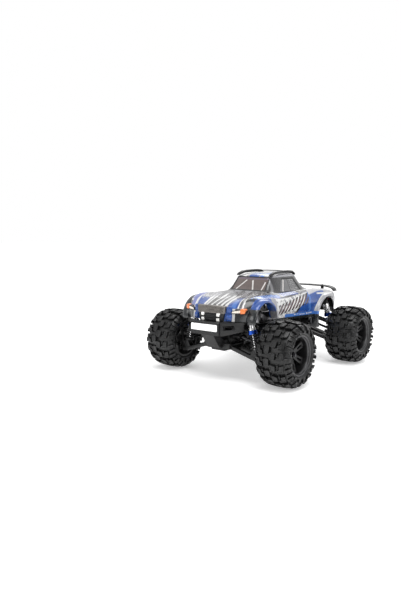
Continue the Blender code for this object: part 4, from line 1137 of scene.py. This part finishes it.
class TRUCK_OT_roof_and_wing(bpy.types.Operator):
    """Build the roof rails and the rear spoiler"""
    bl_idname = "truck.roof_and_wing"
    bl_label = "Roof Rails and Spoiler"

    def execute(self, context):
        side_view = ((-29.5, 126.6), (-26, 129.4), (-17, 132.0), (-4, 132.7), (12, 132.8), (22, 132.5),
                     (30, 131.6), (36.4, 127.6), (37.4, 125.6), (35.4, 125.6), (33.8, 128.3), (12, 129.0),
                     (-14, 128.9), (-27.4, 126.0))
        rails = [prism(side_view, "X", low, low + 4.4, 0.7, 3) for low in (-28.0, 23.6)]
        strap = prism(((-27, 129.6), (-14, 130.2), (14, 130.2), (27, 129.6), (27, 131.0), (14, 131.5),
                       (-14, 131.5), (-27, 131.0)), "Y", 29.0, 32.0, 0.3)
        fit(gather([*rails, strap]), "roof_rails", "shell", "trim_nylon", "trim_plastic", "roof_skid")
        top = [(0, 106.2), (15, 106.1), (30, 105.8), (37, 105.3), (42, 104.4), (46, 102.8), (48.6, 100.8),
               (50.4, 97.4)]
        under = [(48.8, 97.2), (47.4, 99.4), (44.8, 101.3), (41.4, 102.5), (36, 103.4), (30, 103.9),
                 (0, 104.3)]
        far_half = [(-x, z) for x, z in reversed(top[1:] + under[:-1])]
        ring = top + under + far_half
        blade = prism(ring, "Y", 115.4, 127.0, 0.5, 3)
        feet = [block((x - 2, x + 2), (116.4, 119.4), (98.7, 104.6), 0.3) for x in (-30, 30)]
        bolts = [rod((x, 118.0, 105.4), (x, 118.0, 106.9), 1.1, 16, bevel=0.2) for x in (-30, 30)]
        fit(fuse(blade, *feet, *bolts), "rear_wing", "shell", "trim_nylon", "trim_plastic", "rear_spoiler")
        return {"FINISHED"}


# ---------------------------------------------------------------- bumpers

def screw(place, direction, radius=1.5, length=1.1):
    """Button-head screw with a hexagon socket, standing proud at a place."""
    start = Vector(place)
    way = Vector(direction).normalized()
    head = rod(start - way * 0.6, start + way * length, radius, 20, bevel=0.35, segments=3)
    socket = rod(start + way * (length - 0.55), start + way * (length + 1), radius * 0.52, 6)
    return cut(head, socket)


class TRUCK_OT_bumpers(bpy.types.Operator):
    """Build the front bumper, its light bar and the rear guard"""
    bl_idname = "truck.bumpers"
    bl_label = "Bumpers"

    def execute(self, context):
        face = finer("front_bumper", 0.45, 2)
        for side in (-1, 1):
            slot = prism([(side * 24.5, 66.2), (side * 37.0, 67.4), (side * 35.6, 72.6), (side * 23.6, 71.8)],
                         "Y", -140, -118)
            back = prism([(side * 22.0, -127.6), (side * 36.0, -118.8), (side * 46.0, -105.0),
                          (side * 20.0, -105.0)], "Z", 60, 80)
            face = cut(face, combine(slot, back, "DIFFERENCE"))
        fit(face, "front_bumper_face", "chassis", "bumper_nylon", "black_plastic", "front_bumper")
        low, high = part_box("light_bar")
        x, y, z = [(low[axis] / MM, high[axis] / MM) for axis in range(3)]
        lens = block(x, (y[0], y[1] - 0.6), z, 0.6, 3)
        fit(lens, "light_bar_lens", "chassis", "white_lens", "lamp_lens", "light_bar")
        rim = block((x[0] - 0.9, x[1] + 0.9), (y[0] + 1.6, y[1] + 0.3), (z[0] - 0.45, z[1] + 0.45), 0.25)
        hole = block((x[0] + 0.02, x[1] - 0.02), (y[0] - 2, y[1] + 2), (z[0] + 0.02, z[1] - 0.02))
        frame_ring = cut(rim, hole)
        fit(frame_ring, "light_bar_frame", "chassis", "trim_nylon", "black_plastic")
        guard = finer("rear_bumper", 0.5, 2)
        fit(guard, "rear_guard", "chassis", "bumper_nylon", "black_plastic", "rear_bumper")
        heads = []
        for side in (-1, 1):
            heads.append(screw((side * 5.5, -121.6, 59.0), (0, -0.8, 0.5)))
            heads.append(screw((side * 5.5, -114.6, 51.0), (0, -0.8, 0.5)))
            heads.append(screw((side * 5.5, 120.8, 55.6), (0, 0.85, -0.5)))
        fit(gather(heads), "bumper_screws", "chassis", "dark_steel", "steel")
        return {"FINISHED"}


# ---------------------------------------------------------------- wheels

def tyre_section(t):
    """Place (across, radius) and outward normal on the carcass, t from the middle of the tread."""
    points = ((0.0, 36.6), (7.0, 36.5), (13.5, 35.8), (18.0, 34.0), (20.6, 31.4), (21.2, 28.6), (20.4, 26.0),
              (18.6, 24.4), (17.8, 23.6))
    walked = 0.0
    for (x0, r0), (x1, r1) in zip(points, points[1:]):
        step = math.hypot(x1 - x0, r1 - r0)
        if t <= walked + step or (x1, r1) == points[-1]:
            share = (t - walked) / step
            normal = Vector((-(r1 - r0), x1 - x0)).normalized()
            return x0 + (x1 - x0) * share, r0 + (r1 - r0) * share, normal
        walked += step
    return points[-1][0], points[-1][1], Vector((1, 0))


def wrap_on_tyre(item, turn):
    """Lay a flat tread shape (u round the tyre, t across it, height up) onto the carcass."""
    for vertex in item.data.vertices:
        u, t, height = vertex.co / MM
        across, radius, normal = tyre_section(abs(t))
        sign = 1.0 if t >= 0 else -1.0
        across = sign * (across + normal.x * height)
        radius = radius + normal.y * height
        angle = turn + u / 36.6
        vertex.co = Vector((across, radius * math.sin(angle), radius * math.cos(angle))) * MM
    item.data.update()


def tread_block(points, depth, cuts):
    """A bevelled lug with a shallow dish in its face, drawn flat."""
    lug = prism(points, "Z", -0.9, depth)
    top = max(lug.data.polygons, key=lambda face: face.center.z + face.normal.z)
    for face in lug.data.polygons:
        face.select = face.index == top.index
    for vertex in lug.data.vertices:
        vertex.select = False
    for edge in lug.data.edges:
        edge.select = False
    bpy.ops.object.mode_set(mode="EDIT")
    bpy.ops.mesh.select_mode(type="FACE")
    bpy.ops.mesh.inset(thickness=0.35 * MM, depth=0.25 * MM)
    bpy.ops.mesh.inset(thickness=0.75 * MM, depth=0.0)
    bpy.ops.mesh.inset(thickness=0.30 * MM, depth=-0.55 * MM)
    object_mode()
    for level in cuts:
        edit(lug)
        bpy.ops.mesh.bisect(plane_co=(0, level * MM, 0), plane_no=(0, 1, 0))
        object_mode()
    return lug


def make_tyre(sizes):
    profile = []
    total = 32.0
    for step in range(21):
        across, radius, normal = tyre_section(total * step / 20)
        profile.append((across, radius))
    profile.append((17.7, 22.8))
    carcass = lathe(profile + [(-x, r) for x, r in reversed(profile[1:])], "X", 90)
    depth = sizes.lug_depth / MM
    pitch = 2 * math.pi * 36.6 / sizes.tread_pitches
    lugs = []
    for step in range(sizes.tread_pitches):
        turn = 2 * math.pi * step / sizes.tread_pitches
        for side in (1, -1):
            shift = 0.0 if side > 0 else pitch / 2
            shapes = (
                ([(-3.7, 0.5), (3.5, 0.4), (4.1, 2.9), (2.9, 7.4), (-3.5, 6.9), (-4.3, 3.2)], depth,
                 (2.0, 5.0)),
                ([(-5.6, 8.8), (-1.6, 9.2), (-1.0, 12.0), (3.4, 12.5), (4.2, 16.6), (-3.8, 15.9)], depth,
                 (11.0, 13.6)),
                ([(0.4, 8.9), (4.2, 9.1), (4.6, 11.2), (0.7, 10.8)], depth * 0.85, ()),
                ([(-6.0, 17.6), (-1.2, 18.1), (-0.6, 23.0), (-5.0, 22.6)], depth * 0.9, (19.4, 21.2)),
                ([(0.6, 18.0), (5.2, 18.5), (4.8, 25.4), (1.4, 25.2)], depth * 0.6, (20.0, 22.0, 24.0)),
            )
            for points, height, levels in shapes:
                placed = [(u + shift, side * t) for u, t in points]
                if side < 0:
                    placed.reverse()
                lug = tread_block(placed, height, [side * level for level in levels])
                wrap_on_tyre(lug, turn)
                lugs.append(lug)
    bead = lathe([(20.2, 25.0), (21.6, 25.9), (22.2, 26.9), (21.7, 27.9), (20.2, 28.4), (18.6, 26.4)],
                 "X", 90)
    other = copy_of(bead, Matrix.Scale(-1, 4, (1, 0, 0)))
    return gather([carcass, *lugs, bead, other])


def make_rim(sizes):
    """Deep wheel with a stepped lip, split spokes, hub cone and bead seats."""
    barrel = lathe([(-19.2, 24.0), (-18.2, 24.0), (-17.9, 22.5), (17.9, 22.5), (18.2, 23.9), (18.9, 24.1),
                    (19.5, 23.6), (19.3, 22.7), (17.6, 21.9), (16.4, 21.3), (13.0, 20.9), (4.0, 20.7),
                    (-6.0, 21.1), (-19.2, 21.3)], "X", 72)
    hub = lathe([(-4.6, 0.001), (-4.6, 6.2), (5.6, 6.2), (7.6, 5.4), (8.6, 4.9), (8.6, 3.9), (7.4, 3.5),
                 (7.4, 0.001)], "X", 48)
    rim = fuse(barrel, hub)
    for step in range(sizes.spokes):
        blade = prism(((3.2, 4.4), (7.8, 4.4), (9.4, 10.0), (12.2, 21.6), (7.0, 21.6), (5.0, 12.0)),
                      "Y", -4.8, 4.8)
        slot = prism(((-2, 11.0), (20, 11.0), (20, 19.0), (-2, 19.0)), "Y", -1.1, 1.1)
        slot = bevel_edges(slot, 0.9, 3)
        for side in (-1, 1):
            wedge = prism(((side * 2.7, 3.0), (side * 8.0, 3.0), (side * 8.0, 22.0), (side * 4.7, 22.0)),
                          "X", -5, 20)
            blade = cut(blade, wedge)
        blade = bevel_edges(cut(blade, slot), 0.45, 2)
        moved(blade, Matrix.Rotation(2 * math.pi * step / sizes.spokes, 4, "X"))
        rim = combine(rim, blade, "UNION")
    return rim


def make_wheel_nut():
    nut = rod((7.0, 0, 0), (11.6, 0, 0), 3.4, 6, bevel=0.45)
    flange = rod((6.9, 0, 0), (8.4, 0, 0), 4.1, 28, bevel=0.3)
    axle = rod((-15.0, 0, 0), (13.0, 0, 0), 2.2, 24, bevel=0.4)
    return fuse(nut, flange, axle)


class TRUCK_OT_wheels(bpy.types.Operator):
    """Build the four lugged tyres, their wheels and wheel nuts"""
    bl_idname = "truck.wheels"
    bl_label = "Wheels"

    def execute(self, context):
        sizes = context.scene.truck_sizes
        masters = (
            (make_tyre(sizes), "lugged_tyre", "tread_rubber", "tyre_rubber", "tyre", 30),
            (make_rim(sizes), "wheel", "wheel_nylon", "rim_plastic", "rim", 34),
            (make_wheel_nut(), "wheel_nut", "dark_steel", "steel", None, 34),
            (lathe([(17.0, 21.2), (18.7, 22.5), (19.75, 23.3), (19.95, 24.2), (19.2, 24.7), (17.6, 23.4)],
                   "X", 72),
             "wheel_lip", "wheel_lip", "rim_plastic", None, 60),
        )
        for shape, word, look, slot, node, smooth in masters:
            for end, side in CORNERS:
                corner = corner_name(end, side)
                centre = mid(corner + "_tyre")
                place = Matrix.Translation(Vector((centre.x, centre.y, centre.z)) * MM)
                piece = copy_of(shape, place @ Matrix.Diagonal((side, 1, 1, 1)))
                nodes = (corner + "_" + node,) if node else ()
                fit(piece, corner + "_" + word, corner + "_wheel", look, slot, *nodes, smooth=smooth)
            discard(shape)
        return {"FINISHED"}


# ---------------------------------------------------------------- dampers

class TRUCK_OT_dampers(bpy.types.Operator):
    """Build the four dampers: banded barrel, blue collar, rod, spring cup and spring"""
    bl_idname = "truck.dampers"
    bl_label = "Dampers"

    def execute(self, context):
        sizes = context.scene.truck_sizes
        length = SHOCK_LENGTH
        barrel = lathe([(-4.6, 1.7), (-4.6, 4.2), (-5.4, 4.4), (-8.6, 4.4), (-8.8, 3.9), (-10.2, 3.9),
                        (-10.4, 4.3), (-13.4, 4.3), (-13.6, 3.8), (-15.4, 3.8), (-15.6, 4.3), (-19.4, 4.3),
                        (-20.0, 3.6), (-20.0, 1.7)], "Z", 36)
        cap = fuse(rod((0, 0, -1.4), (0, 0, -5.0), 4.4, 28, bevel=0.5),
                   rod((0, -2.4, 0), (0, 2.4, 0), 3.5, 28, bevel=0.3))
        cap = cut(cap, rod((0, -6, 0), (0, 6, 0), 1.7, 20))
        collar = lathe([(-19.0, 3.0), (-19.0, 5.0), (-19.5, 5.5), (-20.6, 5.5), (-20.9, 5.0), (-21.6, 5.0),
                        (-21.9, 5.5), (-23.6, 5.5), (-24.0, 5.1), (-24.0, 1.6), (-22.0, 1.6)], "Z", 40)
        rod_part = fuse(rod((0, 0, 2.6), (0, 0, length - 21.0), 1.2, 20),
                        rod((0, 0, 2.2), (0, 0, 3.6), 2.3, 20, bevel=0.2))
        eye = fuse(rod((0, -2.0, 0), (0, 2.0, 0), 3.1, 28, bevel=0.3), rod((0, 0, 1.6), (0, 0, 3.4), 2.0, 20))
        eye = cut(eye, rod((0, -6, 0), (0, 6, 0), 1.7, 20))
        cup = lathe([(3.3, 1.3), (3.3, 4.9), (3.7, 5.5), (4.9, 5.5), (5.1, 5.0), (4.5, 4.2), (4.5, 1.3)],
                    "Z", 40)
        gauge = sizes.spring_wire / MM
        coil_low = -(length - 5.0) + gauge
        coil_high = -24.35 - gauge
        wire = outline_ring([(4.6 + gauge * math.cos(2 * math.pi * step / 8),
                              coil_low + gauge * math.sin(2 * math.pi * step / 8))
                             for step in range(8)], "Y", 0.0, fill="NOTHING")
        activate(wire)
        coil = wire.modifiers.new("Coil", "SCREW")
        coil.axis = "Z"
        coil.angle = 2 * math.pi * sizes.spring_turns
        coil.screw_offset = (coil_high - coil_low) * MM
        coil.steps = 20 * sizes.spring_turns
        coil.render_steps = 20 * sizes.spring_turns
        coil.use_merge_vertices = False
        bpy.ops.object.modifier_apply(modifier=coil.name)
        edit(wire)
        bpy.ops.mesh.select_all(action="DESELECT")
        bpy.ops.mesh.select_non_manifold()
        bpy.ops.mesh.edge_face_add()
        bpy.ops.mesh.select_all(action="SELECT")
        bpy.ops.mesh.normals_make_consistent(inside=False)
        object_mode()
        eye_place = SHOCK_TOP - SHOCK_AXIS * length
        parts = (
            (barrel, SHOCK_TOP, "damper_barrel", "shock_body", "polished_alloy", "shock_aluminium",
             ("shock_body",)),
            (cap, SHOCK_TOP, "damper_cap", "shock_body", "black_nylon", "black_plastic", ()),
            (collar, SHOCK_TOP, "damper_collar", "shock_body", "blue_alloy", "shock_aluminium", ()),
            (rod_part, eye_place, "damper_rod", "shock_rod", "polished_alloy", "steel", ("shock_rod",)),
            (eye, eye_place, "damper_eye", "shock_rod", "black_nylon", "black_plastic", ()),
            (cup, eye_place, "spring_cup", "shock_rod", "black_nylon", "black_plastic", ()),
            (wire, SHOCK_TOP, "damper_spring", "shock_body", "spring_wire", "spring_steel", ("spring",)),
        )
        for shape, place, word, body, look, slot, nodes in parts:
            stood(shape, place, -SHOCK_TILT)
            for end, side in CORNERS:
                corner = corner_name(end, side)
                piece = for_corner(shape, end, side)
                names = tuple(corner + "_" + node for node in nodes)
                fit(piece, corner + "_" + word, corner + "_" + body, look, slot, *names, smooth=40)
                if word == "damper_spring":
                    travel = JOINTS[corner + "_shock_stroke"]["range_m"][1] / MM
                    rest = coil_high - coil_low + 2 * gauge
                    corner + "_shock_stroke"
                    (rest - travel) / rest
                    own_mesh(piece)
            discard(shape)
        return {"FINISHED"}


# ---------------------------------------------------------------- suspension, steering and drive line

class TRUCK_OT_suspension(bpy.types.Operator):
    """Build the arms, hub carriers, knuckles, half shafts and hinge-pin screws"""
    bl_idname = "truck.suspension"
    bl_label = "Suspension"

    def execute(self, context):
        kinds = (("lower_arm", "lower_arm", "arm_nylon", "arm_plastic", 0.35),
                 ("upper_arm", "upper_arm", "arm_nylon", "arm_plastic", 0.3),
                 ("hub_carrier", "hub_carrier", "arm_nylon", "arm_plastic", 0.3),
                 ("knuckle", "knuckle", "arm_nylon", "arm_plastic", 0.3),
                 ("half_shaft", "half_shaft", "dark_steel", "steel", 0.15))
        for node, body, look, slot, width in kinds:
            for end, side in CORNERS:
                corner = corner_name(end, side)
                if corner + "_" + node in frame["nodes"]:
                    piece = finer(corner + "_" + node, width)
                    fit(piece, corner + "_" + node + "_shape", corner + "_" + body, look, slot,
                        corner + "_" + node, smooth=50)
        for end, side in CORNERS:
            corner = corner_name(end, side)
            inner = pivot(corner + "_suspension")
            outer = pivot(corner + "_carrier_pivot")
            heads = []
            for place, reach in ((inner, 17.6), (outer, 9.0)):
                spot = Vector((place.x, place.y + end * reach, place.z))
                heads.append(screw(spot, (0, end, 0), 1.7, 0.9))
            fit(gather(heads), corner + "_hinge_screws", corner + "_lower_arm", "dark_steel", "steel")
        return {"FINISHED"}


class TRUCK_OT_steering(bpy.types.Operator):
    """Build the steering servo, cranks, centre link and tie rods"""
    bl_idname = "truck.steering"
    bl_label = "Steering"

    def execute(self, context):
        for node, body, look, slot, width in (
                ("steering_servo", "chassis", "black_nylon", "black_plastic", 0.35),
                ("servo_arm", "servo_arm", "arm_nylon", "arm_plastic", 0.25),
                ("idler_arm", "idler_arm", "arm_nylon", "arm_plastic", 0.25),
                ("centre_link", "centre_link", "arm_nylon", "arm_plastic", 0.25),
                ("tie_rod_left", "tie_rod_left", "dark_steel", "steel", 0.15),
                ("tie_rod_right", "tie_rod_right", "dark_steel", "steel", 0.15)):
            fit(finer(node, width), node + "_shape", body, look, slot, node, smooth=50)
        return {"FINISHED"}


class TRUCK_OT_drive_line(bpy.types.Operator):
    """Build the gear cases, shock towers, centre shaft, gears and motor"""
    bl_idname = "truck.drive_line"
    bl_label = "Drive Line"

    def execute(self, context):
        for node, body, look, slot, width in (
                ("front_gearbox", "chassis", "black_nylon", "black_plastic", 0.4),
                ("rear_gearbox", "chassis", "black_nylon", "black_plastic", 0.4),
                ("front_shock_tower", "chassis", "black_nylon", "black_plastic", 0.3),
                ("rear_shock_tower", "chassis", "black_nylon", "black_plastic", 0.3),
                ("spur_gear", "spur", "gear_nylon", "gear_plastic", 0.12),
                ("pinion_gear", "pinion", "plain_steel", "steel", 0.1),
                ("motor", "chassis", "motor_shell", "motor_can", 0.35)):
            fit(finer(node, width), node + "_shape", body, look, slot, node, smooth=50)
        heads = []
        for end in (-1, 1):
            for x, z in ((-8, 46.5), (8, 46.5), (-8, 68.5), (8, 68.5)):
                y = 108.0 if z < 50 else 94.5
                heads.append(screw((x, end * y, z), (0, end, 0), 1.5, 0.9))
            for side in (-1, 1):
                stud = Vector((side * SHOCK_TOP.x, end * 104.9, SHOCK_TOP.z))
                heads.append(rod(stud, stud + Vector((0, end * 1.9, 0)), 2.4, 6, bevel=0.3))
        fit(gather(heads), "case_screws", "chassis", "dark_steel", "steel")
        return {"FINISHED"}


class TRUCK_OT_chassis(bpy.types.Operator):
    """Build the chassis deck, battery and electronics"""
    bl_idname = "truck.chassis"
    bl_label = "Chassis"

    def execute(self, context):
        for node, look, slot, width in (
                ("chassis_plate", "deck_black", "black_plastic", 0.4),
                ("battery", "battery_sleeve", "battery_wrap", 0.8),
                ("electronics_box", "trim_nylon", "trim_plastic", 0.3)):
            fit(finer(node, width, 3), node + "_shape", "chassis", look, slot, node, smooth=50)
        low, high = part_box("battery")
        strap = block((low[0] / MM - 0.25, high[0] / MM + 0.25), (-20, -12), (41.0, high[2] / MM + 0.5), 0.3)
        inside = block((low[0] / MM + 0.05, high[0] / MM - 0.05), (-30, 0), (30, high[2] / MM - 0.05))
        strap = cut(strap, inside)
        fit(strap, "battery_strap", "chassis", "trim_nylon", "trim_plastic")
        heads = [screw((x, y, 36.1), (0, 0, -1), 1.8, 0.5)
                 for x in (-7.5, 7.5) for y in (-104, -88, 88, 104)]
        heads += [screw((x, y, 36.1), (0, 0, -1), 1.8, 0.5) for x in (-20, 20) for y in (-50, 50)]
        fit(gather(heads), "deck_screws", "chassis", "dark_steel", "steel")
        return {"FINISHED"}


# ---------------------------------------------------------------- stage

def area_light(name, place, aim, size, power, tint=(1, 1, 1)):
    light = bpy.data.lights.new(name, "AREA")
    light.shape = "RECTANGLE"
    light.size, light.size_y = size
    light.energy = power
    light.color = tint
    item = bpy.data.objects.new(name, light)
    bpy.context.scene.collection.objects.link(item)
    item.location = place
    item.rotation_mode = "QUATERNION"
    item.rotation_quaternion = (Vector(aim) - Vector(place)).to_track_quat("-Z", "Y")
    return item


class TRUCK_OT_stage(bpy.types.Operator):
    """Lay the pale floor, set the soft lights and place the camera"""
    bl_idname = "truck.stage"
    bl_label = "Stage"

    def execute(self, context):
        deselect()
        bpy.ops.mesh.primitive_plane_add(size=60, location=(0, 0, -0.0002))
        floor = settle(bpy.context.object)
        floor.name = "floor"
        floor.data.materials.append(material("pale_floor"))
        scene = context.scene
        world = bpy.data.worlds.new("Soft white room")
        scene.world = world
        world.use_nodes = True
        backdrop = world.node_tree.nodes["Background"]
        backdrop.inputs["Color"].default_value = (1.0, 1.0, 1.0, 1.0)
        way = world.node_tree.nodes.new("ShaderNodeTexCoord")
        facing = world.node_tree.nodes.new("ShaderNodeVectorMath")
        facing.operation = "DOT_PRODUCT"
        facing.inputs[1].default_value = (-0.60, 0.75, 0.28)
        world.node_tree.links.new(way.outputs["Generated"], facing.inputs[0])
        ramp = Field(world.node_tree, facing.outputs["Value"]).over(-0.1, 0.75)
        world.node_tree.links.new((ramp * 0.74 + 0.26).socket, backdrop.inputs["Strength"])
        area_light("key", (0.35, -0.35, 1.15), (0, 0, 0.06), (0.7, 0.7), 8.0)
        area_light("side", (1.1, -0.35, 0.55), (0, 0, 0.06), (0.35, 0.7), 3.4)
        area_light("front", (-0.35, -1.2, 0.5), (0, 0, 0.06), (0.7, 0.35), 2.4)
        area_light("back", (-0.3, 1.0, 0.9), (0, 0, 0.08), (0.9, 0.5), 4.5)
        scene.view_settings.view_transform = "Standard"
        level = math.cos(CAMERA_ELEVATION)
        back = Vector((math.sin(CAMERA_AZIMUTH) * level, -math.cos(CAMERA_AZIMUTH) * level,
                       math.sin(CAMERA_ELEVATION)))
        lens = bpy.data.cameras.new("camera")
        lens.sensor_width = 36.0
        lens.lens = CAMERA_LENS
        lens.clip_start, lens.clip_end = 0.01, 50.0
        camera = bpy.data.objects.new("camera", lens)
        scene.collection.objects.link(camera)
        camera.location = CAMERA_PLACE
        camera.rotation_mode = "QUATERNION"
        camera.rotation_quaternion = (-back).to_track_quat("-Z", "Y")
        scene.camera = camera
        return {"FINISHED"}


class TRUCK_PT_panel(bpy.types.Panel):
    """Sidebar panel with the truck's sizes, colours and pieces"""
    bl_idname = "TRUCK_PT_panel"
    bl_label = "Monster Truck"
    bl_space_type = "VIEW_3D"
    bl_region_type = "UI"
    bl_category = "Truck"

    def draw(self, context):
        layout = self.layout
        for label, group in (("Sizes", context.scene.truck_sizes), ("Colours", context.scene.truck_colours)):
            box = layout.box()
            box.label(text=label)
            for name in group.bl_rna.properties.keys():
                if name not in ("rna_type", "name"):
                    box.prop(group, name)
        column = layout.column(align=True)
        for operator in OPERATORS:
            column.operator(operator.bl_idname)


OPERATORS = (
    TRUCK_OT_stage,
    TRUCK_OT_body_shell,
    TRUCK_OT_nose_details,
    TRUCK_OT_roof_and_wing,
    TRUCK_OT_bumpers,
    TRUCK_OT_wheels,
    TRUCK_OT_dampers,
    TRUCK_OT_suspension,
    TRUCK_OT_steering,
    TRUCK_OT_drive_line,
    TRUCK_OT_chassis,
)
CLASSES = (TruckSizes, TruckColours, *OPERATORS, TRUCK_PT_panel)


def register():
    for item in CLASSES:
        bpy.utils.register_class(item)
    bpy.types.Scene.truck_sizes = bpy.props.PointerProperty(type=TruckSizes)
    bpy.types.Scene.truck_colours = bpy.props.PointerProperty(type=TruckColours)


def unregister():
    del bpy.types.Scene.truck_colours
    del bpy.types.Scene.truck_sizes
    for item in reversed(CLASSES):
        bpy.utils.unregister_class(item)


def main():
    register()
    for operator in OPERATORS:
        call = operator.bl_idname.split(".")[1]
        getattr(bpy.ops.truck, call)()


if __name__ == "__main__":
    main()
